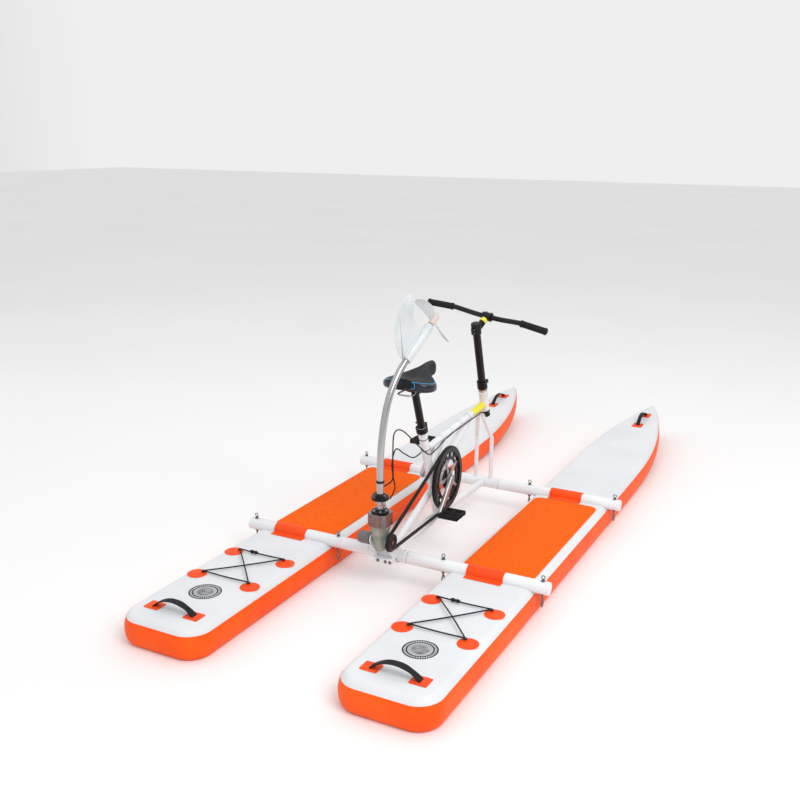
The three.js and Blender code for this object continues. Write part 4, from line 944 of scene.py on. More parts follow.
def makeValve(label, centre):
    deck = place(centre, valve["forward"], board["height"])
    flange, well, depth = valve["flange"], valve["well"], valve["depth"]
    cup, cupDepth = valve["cup"], valve["cupDepth"]
    body = bmesh.new()
    profile = [
        (0, -depth), (well, -depth), (well, 0.3), (flange - 0.7, 0.3), (flange, 0.9), (flange - 0.3, 2.2),
        (flange - 1.5, 2.8), (cup + 1.4, 2.8), (cup + 0.2, 2.2), (cup, 1), (cup, -cupDepth), (0, -cupDepth),
    ]
    addLathe(body, profile, deck, up, 64)
    finishPiece(f"valveSeat_{label}", body, "base", valvePlastic, [f"valve_body_{label}"])
    radius, low = valve["cap"], valve["capDepth"]
    cap = bmesh.new()
    profile = [
        (0, -low), (radius - 0.8, -low), (radius, 0.7 - low), (radius, 1.4), (radius - 0.8, 2.2),
        (radius - 3.8, 2.2), (radius - 4.8, 1), (0, 1),
    ]
    addLathe(cap, profile, deck, up, 56)
    addBlock(cap, valve["bar"], deck + up * mm)
    softenEdges(cap, 0.5, 2, 50)
    node = f"valve_cap_{label}"
    finishPiece(f"valveCap_{label}", cap, node, valvePlastic, [node])
    ink = bmesh.new()
    low, high = ringPrint["ink"]
    for radius, hollow in ringPrint["bands"]:
        profile = [(hollow, low), (hollow, high), (radius, high), (radius, low), (hollow, low)]
        addLathe(ink, profile, deck, up, 72)
    for index in range(ringPrint["ticks"]):
        turn = Matrix.Rotation(index / ringPrint["ticks"] * math.tau, 4, "Z")
        out = turn @ Vector((0, ringPrint["radius"] * mm, 0))
        addBlock(ink, (*ringPrint["tick"], high - low), deck + out + up * (low + high) / 2 * mm, turn)
    finishPiece(f"valvePrint_{label}", ink, "base", printInk)
    disc = bmesh.new()
    (hollow, radius), (low, high) = ringPrint["disc"], ringPrint["discInk"]
    profile = [(hollow, low), (hollow, high), (radius, high), (radius, low), (hollow, low)]
    addLathe(disc, profile, deck, up, 72)
    finishPiece(f"valveDisc_{label}", disc, "base", greyInk)


for label, sign in boards:
    makeValve(label, sign * board["centre"])
print("deck fittings made")

# cross bars and their tie pins
halfBar = {"start": 78.3, "gap": 1, "edge": 0.8, "cap": 4.6, "capGroove": 0.4}
tie = {
    "offset": 194,
    "shaft": 3.2,
    "top": 33,
    "bottom": -42,
    "ring": (6.4, 1.8),
    "ringRise": 6,
    "hook": (10, 2.4),
    "hookBite": 1.5,
    "stretch": 1.6,
    "washer": (7.5, 1.4),
    "washers": (25.2, -26.6),
    "nut": 5.6,
    "nuts": ((26.6, 30), (-30.6, -26.8)),
}


def makeCrossTube(label, placeName, sign, forward):
    bm = bmesh.new()
    start = place(sign * halfBar["start"], forward, bars["height"])
    length = bars["halfSpan"] - halfBar["start"]
    radius, gap, edge = bars["radius"], halfBar["gap"], halfBar["edge"]
    cap, groove = length - halfBar["cap"], halfBar["capGroove"]
    profile = [
        (0, gap), (radius - edge, gap), (radius, gap + edge), (radius, 20), (radius, 20.6), (radius, cap),
        (radius - groove, length - 4), (radius, length - 3.6), (radius, length - 2),
        (radius - 1.2, length - 0.4), (radius - 3, length), (0, length),
    ]
    addLathe(bm, profile, start, side * sign, 56)
    spot = f"{placeName}_{label}"
    nodes = [f"cross_tube_{spot}"]
    finishPiece(f"crossTube_{spot}", bm, "base", whitePaint, nodes, crease=50)


def makeTiePin(label, placeName, edge, x, forward):
    bm = bmesh.new()

    def at(height):
        return place(x, forward, bars["height"] + height)

    addTube(bm, at(tie["bottom"]), at(tie["top"]), tie["shaft"], sides=20)
    radius, thick = tie["washer"]
    for height in tie["washers"]:
        addTube(bm, at(height), at(height + thick), radius, sides=28)
    for low, high in tie["nuts"]:
        addTube(bm, at(low), at(high), tie["nut"], sides=6)
    addRing(bm, at(tie["top"] + tie["ringRise"]), toBow, *tie["ring"])
    link = at(tie["bottom"] - tie["hook"][0] * tie["stretch"] + tie["hookBite"])
    hook = bmesh.new()
    addRing(hook, link, side, *tie["hook"])
    bmesh.ops.scale(hook, vec=(1, 1, tie["stretch"]), space=Matrix.Translation(-link), verts=hook.verts)
    appendMesh(bm, hook)
    spot = f"{placeName}_{label}_{edge}"
    finishPiece(f"tiePin_{spot}", bm, "base", dullSteel, [f"tie_pin_{spot}"])


for label, sign in boards:
    for placeName, forward in zip(("rear", "front"), bars["forward"]):
        makeCrossTube(label, placeName, sign, forward)
        for edge, offset in (("inner", -tie["offset"]), ("outer", tie["offset"])):
            makeTiePin(label, placeName, edge, sign * (board["centre"] + offset), forward)
print("cross bars made")

# pedal frame: a tube is (start, end, radius), and pairs are (forward, height)
tiltAt = (778, 199)
headLow = place(0, 1753.7, 468.2)
headUp = (place(0, 1633.2, 845.7) - headLow).normalized()
seatLow = place(0, 1275.1, 127.3)
seatUp = (place(0, 1062.5, 680.8) - seatLow).normalized()
crankCentre = place(0, 1265, 298)
tiltCentre = place(0, *tiltAt)


def onHead(distance):
    return headLow + headUp * distance * mm


def onSeat(distance):
    return seatLow + seatUp * distance * mm


def beside(point, x):
    return Vector((x * mm, point.y, point.z))


rearBar, frontBar = bars["forward"]
frameTubes = {
    "mainTube": (place(0, 1742, 489), place(0, 1160, 445.1), 14),
    "downTube": (place(0, 1585, 477), place(0, 1216, 270.6), 16.5),
    "brace": (place(0, 1342, 458), place(0, 1192, 325), 7),
    "bottomTube": (place(0, frontBar, bars["height"]), seatLow, 17),
    "sternStay": (place(0, 1199, 252), place(0, rearBar, bars["height"]), 14),
    "crankShell": (beside(crankCentre, -33), beside(crankCentre, 33), 20),
}
gusset = {"end": (1570, 476), "radii": (17, 14)}
seatTube = {"radius": 18, "length": 454, "bore": 15.9, "boredFrom": 180, "wall": 17}
headTube = {"radius": 20, "cup": 21, "bore": 16.4, "low": -6, "high": 92, "wall": 18.4}
barHub = {"radius": 24, "lip": 24.8, "half": 78, "lipWidth": 8}
fork = {"spread": 36, "bend": 330, "top": (8, 1697, 466), "radius": 9}
lowStay = {"start": (10, 1274, 128), "end": (52, rearBar, 122), "radius": 7}
frameBeads = (  # weld beads in the middle plane: (place, rise of the tube, radius, wire)
    ((1177, 446.4), 0.08, 14.6, 2.0), ((1728, 488), 0.08, 17.4, 2.0),
    ((1239, 283.5), 0.56, 17.2, 2.0), ((1287, 310.3), 0.56, 17.2, 2.0),
    ((1735, 117.3), -0.02, 17.8, 2.0), ((1294, 127), -0.02, 17.8, 2.0),
    ((878, 127), 0.39, 14.8, 2.0), ((1205, 336.5), 0.9, 7.4, 1.6),
)
sideBeads = (  # the same on both sides: (place, along, radius, wire)
    ((36, frontBar, 140.5), (0, 0, 1), 9.4, 1.8), ((49.5, 877, 122.4), (-0.1, 1, 0), 7.4, 1.6),
)


def mirrored(sign, spot):
    return place(sign * spot[0], spot[1], spot[2])


def copeEnd(bm, verts, tip, tail, joint):  # shapes a tube's end to the wall of the tube it meets
    origin, axis, wall = joint
    along = (tip - tail).normalized()
    out = tail - tip - axis * (tail - tip).dot(axis)
    out.normalize()
    ring = [vert for vert in verts if abs((vert.co - tip).dot(along)) < 0.1 * mm]
    caps = [face for face in ring[0].link_faces if len(face.verts) > 4]
    bmesh.ops.delete(bm, geom=caps, context="FACES_ONLY")
    ring.sort(key=lambda vert: vert.co.x)
    for vert in ring:
        away = vert.co - origin
        depth = math.sqrt((wall * mm) ** 2 - away.x**2)
        vert.co += along * ((depth - away.dot(out)) / along.dot(out))
    first, last = ring[0], ring[-1]
    square = along.cross(side)
    middle = first.co.dot(square)
    above = [first] + [vert for vert in ring[1:-1] if vert.co.dot(square) > middle] + [last]
    below = [first] + [vert for vert in ring[1:-1] if vert.co.dot(square) <= middle] + [last]
    for index in range(len(above) - 1):
        corners = [above[index], above[index + 1], below[index + 1], below[index]]
        bm.faces.new(list(dict.fromkeys(corners)))


def addFrameTubes(bm):
    seatJoint = (seatLow, seatUp, seatTube["wall"])
    headJoint = (headLow, headUp, headTube["wall"])
    for name, (start, end, radius) in frameTubes.items():
        made = addTube(bm, start, end, radius, sides=48)
        if name in ("mainTube", "brace"):
            copeEnd(bm, made, end, start, seatJoint)
        if name == "mainTube":
            copeEnd(bm, made, start, end, headJoint)
    start, end = frameTubes["mainTube"][0], place(0, *gusset["end"])
    copeEnd(bm, addTube(bm, start, end, *gusset["radii"], sides=48), start, end, headJoint)


def addFrameSockets(bm):  # the seat tube, the head tube and the two hubs of the cross bars
    radius, length, bore = seatTube["radius"], seatTube["length"], seatTube["bore"]
    floor = seatTube["boredFrom"]
    profile = [
        (0, 0), (radius, 0), (radius, length - 1), (radius - 0.4, length), (bore, length),
        (bore, floor), (0, floor),
    ]
    addLathe(bm, profile, seatLow, seatUp, 48)
    radius, cup, bore = headTube["radius"], headTube["cup"], headTube["bore"]
    low, high = headTube["low"], headTube["high"]
    profile = [
        (bore, low), (cup - 0.4, low), (cup, low + 1), (cup, low + 10), (radius, low + 12),
        (radius, high - 12), (cup, high - 10), (cup, high - 1), (cup - 0.4, high), (bore, high), (bore, low),
    ]
    addLathe(bm, profile, headLow, headUp, 48)
    radius, lip, half = barHub["radius"], barHub["lip"], barHub["half"]
    inner = half - barHub["lipWidth"]
    profile = [
        (0, -half), (radius, -half), (lip, 1 - half), (lip, -inner - 1), (radius, -inner),
        (radius, inner), (lip, inner + 1), (lip, half - 1), (radius, half), (0, half),
    ]
    for forward in bars["forward"]:
        addLathe(bm, profile, place(0, forward, bars["height"]), side, 48)


def makeFrame():
    bm = bmesh.new()
    addFrameTubes(bm)
    addFrameSockets(bm)
    for sign in (-1, 1):
        foot = place(sign * fork["spread"], frontBar, bars["height"])
        shoulder = place(sign * fork["spread"], frontBar, fork["bend"])
        addTube(bm, foot, shoulder, fork["radius"], sides=32)
        addTube(bm, shoulder, mirrored(sign, fork["top"]), fork["radius"], sides=32)
        ball = Matrix.Translation(shoulder)
        bmesh.ops.create_uvsphere(bm, u_segments=32, v_segments=16, radius=fork["radius"] * mm, matrix=ball)
        start, end = mirrored(sign, lowStay["start"]), mirrored(sign, lowStay["end"])
        addTube(bm, start, end, lowStay["radius"], sides=24)
        for spot, along, radius, wire in sideBeads:
            addRing(bm, mirrored(sign, spot), Vector(along), radius, wire, 40, 8)
    for spot, rise, radius, wire in frameBeads:
        addRing(bm, place(0, *spot), Vector((0, 1, rise)), radius, wire, 40, 8)
    finishPiece("pedalFrame", bm, "base", whitePaint, ["frame"], crease=45)


makeFrame()

# a plain yellow band on the main tube behind the head
tubeBand = {"start": (1722, 487.6), "end": (1602, 478.5), "radii": ((16.9, 17.3), (14.9, 15.4))}


def makeTape():
    bm = bmesh.new()
    start, end = place(0, *tubeBand["start"]), place(0, *tubeBand["end"])
    length = (end - start).length / mm
    (nearIn, nearOut), (farIn, farOut) = tubeBand["radii"]
    profile = [(nearIn, 0), (nearOut, 0), (farOut, length), (farIn, length), (nearIn, 0)]
    addLathe(bm, profile, start, end - start, 48)
    finishPiece("mainTubeBand", bm, "base", yellowTape)


makeTape()
print("frame made")

# bracket that holds the leg on the rear bar
bracket = {
    "half": 41,
    "ear": (31, 5, 21),
    "ring": (24.4, 31),
    "block": (82, 40, 18),
    "blockAt": (812, 109),
    "bolts": (-18, 14, 33),
    "bolt": (5, 5),
    "boltSunk": 1,
}


def addBolt(bm, foot, along, radius, height, washer=1.35):
    axis = along.normalized()
    addTube(bm, foot, foot + axis * height * 0.25 * mm, radius * washer, sides=28)
    addTube(bm, foot, foot + axis * height * mm, radius, sides=6)


def makeBracket():
    bm = bmesh.new()
    bore, outer = bracket["ring"]
    profile = ringProfile(bore, outer, -bracket["half"], bracket["half"], 1.5)
    addLathe(bm, profile, place(0, rearBar, bars["height"]), side, 56)
    inner, thick, radius = bracket["ear"]
    for sign in (-1, 1):
        points = capsuleOutline(tiltAt, (rearBar, bars["height"]), radius, outer)
        spots = [place(sign * inner, y, z) for y, z in points]
        addPlate(bm, spots, side * sign * thick * mm, 0.9, 2, 60)
    block = bmesh.new()
    forward, height = bracket["blockAt"]
    addBlock(block, bracket["block"], place(0, forward, height))
    softenEdges(block, 3, 4, 60)
    appendMesh(bm, block)
    finishPiece("tiltBracket", bm, "base", whitePaint, ["tilt_bracket"])
    bolts = bmesh.new()
    rear = forward - bracket["block"][1] / 2 + bracket["boltSunk"]
    for x in bracket["bolts"]:
        addBolt(bolts, place(x, rear, height), -toBow, *bracket["bolt"])
    finishPiece("tiltBracketBolts", bolts, "base", dullSteel)


makeBracket()

# gearbox and its flange
gear = {
    "half": 38,
    "bevel": 12,
    "low": 262,
    "high": 312,
    "bottom": 161,
    "taper": (37.8, 16.4),
    "bulge": 0.74,
    "cutShare": 0.586,
    "steps": 6,
    "port": (-87, 24),
    "starboard": 36.5,
    "shaft": 13,
    "boltAcross": 22,
    "boltHeights": (274, 300),
    "bolt": (3.2, 2.6),
}


def atLeg(x, y, height):  # offsets from the leg's upright axis
    return Vector((x * mm, tiltCentre.y + y * mm, height * mm))


def octagon(half, bevel, height):
    near = half - bevel
    corners = [
        (-near, -half), (near, -half), (half, -near), (half, near),
        (near, half), (-near, half), (-half, near), (-half, -near),
    ]
    return [atLeg(x, y, height) for x, y in corners]


def makeGearbox():
    bm = bmesh.new()
    half = gear["half"]
    loftRows(bm, [octagon(half, gear["bevel"], height) for height in (gear["low"], gear["high"])])
    bmesh.ops.recalc_face_normals(bm, faces=bm.faces)
    softenEdges(bm, 0.8, 2, 30)
    lower = bmesh.new()
    rows = []
    wide, narrow = gear["taper"]
    for step in range(gear["steps"] + 1):
        share = step / gear["steps"]
        size = narrow + (wide - narrow) * (1 - share) ** gear["bulge"]
        height = gear["low"] + (gear["bottom"] - gear["low"]) * share
        rows.append(octagon(size, size * gear["cutShare"], height))
    loftRows(lower, rows)
    bmesh.ops.recalc_face_normals(lower, faces=lower.faces)
    softenEdges(lower, 2, 3, 34)
    appendMesh(bm, lower)
    start, end = beside(tiltCentre, -half), beside(tiltCentre, gear["starboard"])
    addTube(bm, start, end, gear["shaft"], sides=48)
    for x in (-gear["boltAcross"], gear["boltAcross"]):
        for height in gear["boltHeights"]:
            addBolt(bm, atLeg(x, -half, height), -toBow, *gear["bolt"])
    finishes = [castCase, milledCase]
    case = finishPiece("gearCase", bm, "gearbox_group", finishes, ["gearbox"], crease=12)
    for face in case.data.polygons:  # the upper block is milled
        face.material_index = int(face.center.z > (gear["low"] - 0.5) * mm)
    drum = bmesh.new()
    left, radius = gear["port"]
    profile = [
        (0, 0), (radius - 3, 0), (radius - 2, 1), (radius - 2, 8), (radius, 9.5), (radius, 38),
        (radius - 1.4, 39.4), (radius - 1.4, 42), (radius, 43.4), (radius, 49), (0, 49),
    ]
    addLathe(drum, profile, beside(tiltCentre, left), side, 56)
    addBolt(drum, beside(tiltCentre, left + 0.4), -side, 6, 0.2)
    finishPiece("trunnionDrum", drum, "gearbox_group", drumSteel)


makeGearbox()

flange = {
    "radius": 33,
    "thick": 7,
    "edge": 0.8,
    "bore": 13.6,
    "neck": (17.5, 16.8, 4),
    "gap": 0.3,
    "circle": 26,
    "bolt": (3.6, 5),
    "count": 6,
}


def makeFlange():
    bm = bmesh.new()
    low = atLeg(0, 0, gear["high"] + flange["gap"])
    radius, thick, edge, bore = (flange[key] for key in ("radius", "thick", "edge", "bore"))
    foot, neck, rise = flange["neck"]
    profile = [
        (bore, 0), (radius - edge, 0), (radius, edge), (radius, thick - edge), (radius - edge, thick),
        (foot, thick), (neck, thick + rise), (bore, thick + rise), (bore, 0),
    ]
    addLathe(bm, profile, low, up, 56)
    finishPiece("legFlange", bm, "gearbox_group", blackPaint, ["gearbox_flange"])
    bolts = bmesh.new()
    for index in range(flange["count"]):
        angle = index / flange["count"] * math.tau
        out = Vector((math.cos(angle), math.sin(angle), 0)) * flange["circle"] * mm
        addBolt(bolts, low + out + up * thick * mm, up, *flange["bolt"])
    finishPiece("legFlangeBolts", bolts, "gearbox_group", stainless)


makeFlange()

# outboard leg
yaw = math.radians(10)
heading = Vector((math.sin(yaw), math.cos(yaw), 0))
leg = {
    "radius": 13,
    "straight": 480,
    "first": (700, math.radians(17.5)),
    "second": (334, math.radians(35.5)),
    "steps": (10, 16),
    "upright": (278.5, 380, 440),
    "inSleeve": (40, 110),
    "collar": (362, 33, 11),
    "collarNeck": (19, 22),
    "band": (426, 16, 8),
}
legBolts = {
    "angles": (-60, -15, 150),
    "circle": 24,
    "head": (4.6, 5),
    "shank": (2.8, 26),
    "nut": (4.4, 16),
    "clampAt": (16, 18.4),
    "clamp": (3.2, 4),
}
firstRadius, firstTurn = leg["first"]
secondRadius, secondTurn = leg["second"]
legTurn = firstTurn + secondTurn
firstReach = firstRadius * (1 - math.cos(firstTurn))
firstHeight = leg["straight"] + firstRadius * math.sin(firstTurn)


def onLeg(reach, height):
    return atLeg(0, 0, height) + heading * reach * mm


def onSecondBend(angle):
    reach = firstReach + secondRadius * (math.cos(firstTurn) - math.cos(angle))
    return onLeg(reach, firstHeight + secondRadius * (math.sin(angle) - math.sin(firstTurn)))


sleeveStart = onSecondBend(legTurn)
sleeveAlong = heading * math.sin(legTurn) + up * math.cos(legTurn)
sleeveAcross = Vector((heading.y, -heading.x, 0))
sleeveNormal = sleeveAcross.cross(sleeveAlong)


def onSleeve(distance, across=0, out=0):
    return sleeveStart + (sleeveAlong * distance + sleeveAcross * across + sleeveNormal * out) * mm


def legPath():
    firstSteps, secondSteps = leg["steps"]
    path = [onLeg(0, height) for height in leg["upright"]]
    for step in range(firstSteps + 1):
        angle = firstTurn * step / firstSteps
        height = leg["straight"] + firstRadius * math.sin(angle)
        path.append(onLeg(firstRadius * (1 - math.cos(angle)), height))
    for step in range(1, secondSteps + 1):
        path.append(onSecondBend(firstTurn + secondTurn * step / secondSteps))
    return path + [onSleeve(distance) for distance in leg["inSleeve"]]


def makeLeg():
    bm = bmesh.new()
    loftRows(bm, tubeRows(legPath(), leg["radius"], 48))
    finishPiece("legTube", bm, "leg", stainless, ["leg_tube"], crease=50)
    fittings = bmesh.new()
    bore = leg["radius"]
    height, radius, thick = leg["collar"]
    neck, top = leg["collarNeck"]
    profile = [
        (bore, 0), (radius - 1, 0), (radius, 1), (radius, 4.4), (radius - 1.6, 5.2), (radius - 1.6, 6.2),
        (radius, 7), (radius, thick - 1), (radius - 1, thick), (neck + 0.5, thick), (neck, thick + 1),
        (neck, top - 1), (neck - 1, top), (bore, top), (bore, 0),
    ]
    addLathe(fittings, profile, onLeg(0, height), up, 56)
    bandHeight, radius, thick = leg["band"]
    profile = [
        (bore, 0), (radius - 0.5, 0), (radius, 0.6), (radius, thick - 0.6), (radius - 0.5, thick),
        (bore, thick), (bore, 0),
    ]
    addLathe(fittings, profile, onLeg(0, bandHeight), up, 48)
    finishPiece("legCollar", fittings, "leg", blackPaint)
    bolts = bmesh.new()
    (shank, length), (nut, nutTop) = legBolts["shank"], legBolts["nut"]
    for angle in (math.radians(degrees) for degrees in legBolts["angles"]):
        out = Vector((math.cos(angle), math.sin(angle), 0)) * legBolts["circle"] * mm
        foot = onLeg(0, height) + out
        addBolt(bolts, foot, -up, *legBolts["head"])
        addTube(bolts, foot, foot - up * length * mm, shank, sides=20)
        addTube(bolts, foot - up * length * mm, foot - up * nutTop * mm, nut, sides=6)
    rise, reach = legBolts["clampAt"]
    addBolt(bolts, onLeg(0, height + rise) + sleeveAcross * reach * mm, sleeveAcross, *legBolts["clamp"])
    finishPiece("legCollarBolts", bolts, "leg", stainless)


makeLeg()

sleeve = {
    "radius": 18,
    "length": 179,
    "bore": 13.4,
    "ring": 152,
    "mouth": (6, 8),
    "bolts": (20, 60),
    "bolt": (3.4, 4),
    "boltSunk": 0.4,
}


def makePropSleeve():
    bm = bmesh.new()
    radius, length, bore, ring = (sleeve[key] for key in ("radius", "length", "bore", "ring"))
    mouth, depth = sleeve["mouth"]
    profile = [
        (bore, 0), (radius - 1.2, 0), (radius, 1.6), (radius, ring), (radius - 0.9, ring + 0.8),
        (radius - 0.9, ring + 3), (radius, ring + 3.8), (radius, length - 3), (radius - 1.6, length),
        (mouth, length), (mouth, length - depth), (bore, length - depth), (bore, 0),
    ]
    addLathe(bm, profile, sleeveStart, sleeveAlong, 56)
    finishPiece("sleeveTube", bm, "leg", milkPlastic, ["propeller_sleeve"])
    bolts = bmesh.new()
    for distance in sleeve["bolts"]:
        foot = onSleeve(distance, 0, sleeve["boltSunk"] - radius)
        addBolt(bolts, foot, -sleeveNormal, *sleeve["bolt"])
    finishPiece("sleeveBolts", bolts, "leg", stainless)


makePropSleeve()

fin = {
    "thick": 6,
    "size": 176,
    "outlineShares": (
        (-0.08, 0), (-0.1, 0.18), (-0.06, 0.385), (0.1, 0.66), (0.33, 0.86), (0.6, 0.985),
        (0.81, 0.985), (0.95, 0.91), (0.955, 0.77), (0.78, 0.53), (0.7, 0.28), (0.693, 0),
    ),
    "edge": ((-0.5, 5.5), (-0.42, 3.2), (-0.24, 1.0), (0, 0), (0.24, 1.0), (0.42, 3.2), (0.5, 5.5)),
    "rootSunk": 1,
    "cheek": (3, 108, 12),
    "cheekAt": (54, 4.2, 5),
}


def makeFin():
    root = sleeve["radius"] - fin["rootSunk"]
    corners = [
        Vector((along * fin["size"], sleeve["radius"] + out * fin["size"], 0))
        for along, out in fin["outlineShares"]
    ]
    path = smoothPath(corners, 7)
    middle = sum(path, Vector()) / len(path)
    rows = []
    for height, shrink in fin["edge"]:
        row = []
        for index, point in enumerate(path):
            before = path[index - 1]
            after = path[(index + 1) % len(path)]
            edge = (after - before).normalized()
            inward = Vector((edge.y, -edge.x, 0))
            if inward.dot(middle - point) < 0:
                inward.negate()
            moved = point + inward * shrink
            row.append(onSleeve(moved.x, height * fin["thick"], max(root, moved.y)))
        rows.append(row)
    bm = bmesh.new()
    loftRows(bm, rows)
    finishPiece("steeringFin", bm, "leg", milkPlastic, ["fin"], crease=50)
    cheeks = bmesh.new()
    along, across, out = fin["cheekAt"]
    turn = Matrix((sleeveAcross, sleeveAlong, sleeveNormal)).transposed().to_4x4()
    for sign in (-1, 1):
        foot = onSleeve(along, sign * across, sleeve["radius"] + out)
        addBlock(cheeks, fin["cheek"], foot, turn)
    softenEdges(cheeks, 1, 2, 60)
    finishPiece("finRoot", cheeks, "leg", milkPlastic)


makeFin()

propeller = {
    "gap": 9,
    "shaft": (5, 18),
    "hub": (13, 42),
    "nose": 16,
    "blade": 112,
    "root": 8,
    "half": 21,
    "widthShares": (0.441, 1.862, -1.323),
    "tipShare": 0.8,
    "thick": 4,
    "thinShare": 0.55,
    "camber": 2.4,
    "sweep": (9, 12),
    "pitch": (38, 16),  # degrees at the root, and what is lost by the tip
    "turn": -7.8,
    "steps": 14,
    "corners": 16,
}


def bladeRow(sign, middle, share):
    root, tip = propeller["root"], propeller["tipShare"]
    reach = root + (propeller["blade"] - root) * share
    base, rise, fall = propeller["widthShares"]
    wide = propeller["half"] * (base + rise * share + fall * share**2)
    if share > tip:
        wide *= math.sqrt(max(0.02, 1 - ((share - tip) / (1 - tip)) ** 2))
    bow, back = propeller["sweep"]
    sweep = bow * math.sin(share * math.pi) - back * share**2
    steep, loss = propeller["pitch"]
    pitch = math.radians(steep - loss * share)
    depth = propeller["thick"] * (1 - propeller["thinShare"] * share)
    row = []
    for corner in range(propeller["corners"]):
        angle = corner / propeller["corners"] * math.tau
        chord = wide * math.cos(angle) + sweep
        camber = propeller["camber"] * (1 - math.cos(angle) ** 2) * share
        lens = depth / 2 * math.sin(angle) + camber
        along = middle + chord * math.sin(pitch) + lens * math.cos(pitch)
        across = sign * (chord * math.cos(pitch) - lens * math.sin(pitch))
        row.append(onSleeve(along, across, sign * reach))
    return row


def makePropeller():
    bm = bmesh.new()
    start = sleeve["length"] + propeller["gap"]
    radius, length = propeller["hub"]
    shaft, depth = propeller["shaft"]
    profile = [
        (0, -depth), (shaft, -depth), (shaft, 0), (radius - 1, 0), (radius, 1), (radius, length),
        (radius - 1, length + 4), (9.6, length + 10), (5, length + 15), (0, length + propeller["nose"]),
    ]
    addLathe(bm, profile, onSleeve(start), sleeveAlong, 40)
    finishPiece("propellerHub", bm, "propeller", bronze, ["propeller"], crease=50)
    blades = bmesh.new()
    middle = start + length / 2
    steps = propeller["steps"]
    for sign in (-1, 1):
        loftRows(blades, [bladeRow(sign, middle, step / steps) for step in range(steps + 1)])
    rest = Matrix.Rotation(math.radians(propeller["turn"]), 3, sleeveAlong)
    bmesh.ops.rotate(blades, cent=onSleeve(middle), matrix=rest, verts=blades.verts)
    finishPiece("propellerBlades", blades, "propeller", milkPlastic, crease=70)


makePropeller()
print("leg made")

# steering post and handlebar: profiles are (radius, distance along the head)
steer = math.radians(-15)
headForward = headUp.cross(side)
steerTurn = Matrix.Rotation(steer, 3, headUp)
steerSide = steerTurn @ side
steerAhead = steerTurn @ headForward


def onSteer(across, ahead, along):
    return onHead(along) + steerTurn @ (side * across * mm + headForward * ahead * mm)


steerer = {
    "profile": (
        (0, -36), (21, -36), (22, -35), (22, -29), (18.5, -26), (18.5, -18), (22, -15), (22, -9),
        (21, -8), (16, -8), (16, 106), (22.2, 106), (23, 107), (23, 141), (22.2, 142), (17.6, 142), (0, 142),
    ),
    "race": (
        (16, 92.4), (19.4, 92.4), (19.8, 95), (18.4, 97), (19.4, 99), (19.4, 105), (16, 105), (16, 92.4),
    ),
    "ear": (124, 27, 8.6),
}
lever = {
    "width": 13,
    "length": 44,
    "thick": 5,
    "bow": 2.2,
    "boss": 7,
    "pivot": 34.5,
    "steps": 12,
    "sides": 20,
}
post = {"radius": 17, "inner": 12.7, "low": 20, "shoulder": 143, "top": 410}
stem = {
    "ahead": 82,
    "rise": 13,
    "radii": (16.5, 12.6),
    "clamp": (378, 21),
    "clampTop": 19.3,
    "cap": 6,
    "bore": (17.3, 11.4),
    "bar": (22, 19),
    "lug": (12, 12, 30),
    "lugAt": (-22, -4),
    "faceBolts": (14, 17, 11),
    "faceBolt": (2.8, 3.5),
    "clampBolts": (12, 30),
    "clampBolt": (8, 3),
    "band": ((44, 3.7), (62, 9.0)),
    "bandRadii": (16.1, 14.1),
}
barShape = {
    "radius": 11,
    "half": 312,
    "bends": ((0.14, 0, 0), (0.3, 1, 3), (0.52, 4, 10), (0.62, 6, 11), (1, 16, 10)),
}
grip = {
    "end": ((0, -4.3), (13, -4.3), (15.5, -3), (15.5, 1.5), (13.4, 2.5)),
    "ribs": 23,
    "pitch": 5,
    "rib": ((13.6, 0), (14.4, 0.8), (14.4, 3), (13.6, 3.8)),
    "mouth": ((13.6, 121), (15.5, 122), (15.5, 127), (14.6, 128), (11.4, 128), (11.4, -0.3), (0, -0.3)),
}


def makeSteerer():
    bm = bmesh.new()
    addLathe(bm, steerer["profile"], headLow, headUp, 48)
    along, ahead, radius = steerer["ear"]
    addTube(bm, onSteer(0, 0, along), onSteer(0, ahead, along), radius, sides=32)
    finishPiece("steererTube", bm, "steering", blackPaint, ["steerer"])
    race = bmesh.new()
    addLathe(race, steerer["race"], headLow, headUp, 48)
    finishPiece("headRace", race, "steering", stainless)


def makeLever(name, node, pivot, axis, along):
    bm = bmesh.new()
    width, thick, sides, steps = (lever[key] for key in ("width", "thick", "sides", "steps"))
    rows = []
    third = axis.cross(along).normalized()
    for step in range(steps + 1):
        share = step / steps
        half = width / 2 * (0.72 + 0.28 * math.sin(share * math.pi * 0.9)) * (0.6 if step == steps else 1)
        deep = thick / 2 * (1 - 0.4 * share)
        bow = lever["bow"] * math.sin(share * math.pi)
        centre = pivot + (along * lever["length"] * share + third * bow) * mm
        angles = [corner / sides * math.tau for corner in range(sides)]
        rows.append([centre + (axis * half * math.cos(a) + third * deep * math.sin(a)) * mm for a in angles])
    loftRows(bm, rows)
    half = axis * width / 2 * mm
    addTube(bm, pivot - half, pivot + half, lever["boss"], sides=32)
    finishPiece(name, bm, node, blackPaint, [node], crease=50)


def makePost():
    bm = bmesh.new()
    inner, radius, shoulder, top = (post[key] for key in ("inner", "radius", "shoulder", "top"))
    low = post["low"]
    profile = [(0, low), (inner, low), (inner, shoulder), (radius, shoulder), (radius, top), (0, top)]
    addLathe(bm, profile, headLow, headUp, 48)
    finishPiece("steeringPost", bm, "handlebar_group", blackPaint, ["handlepost"])


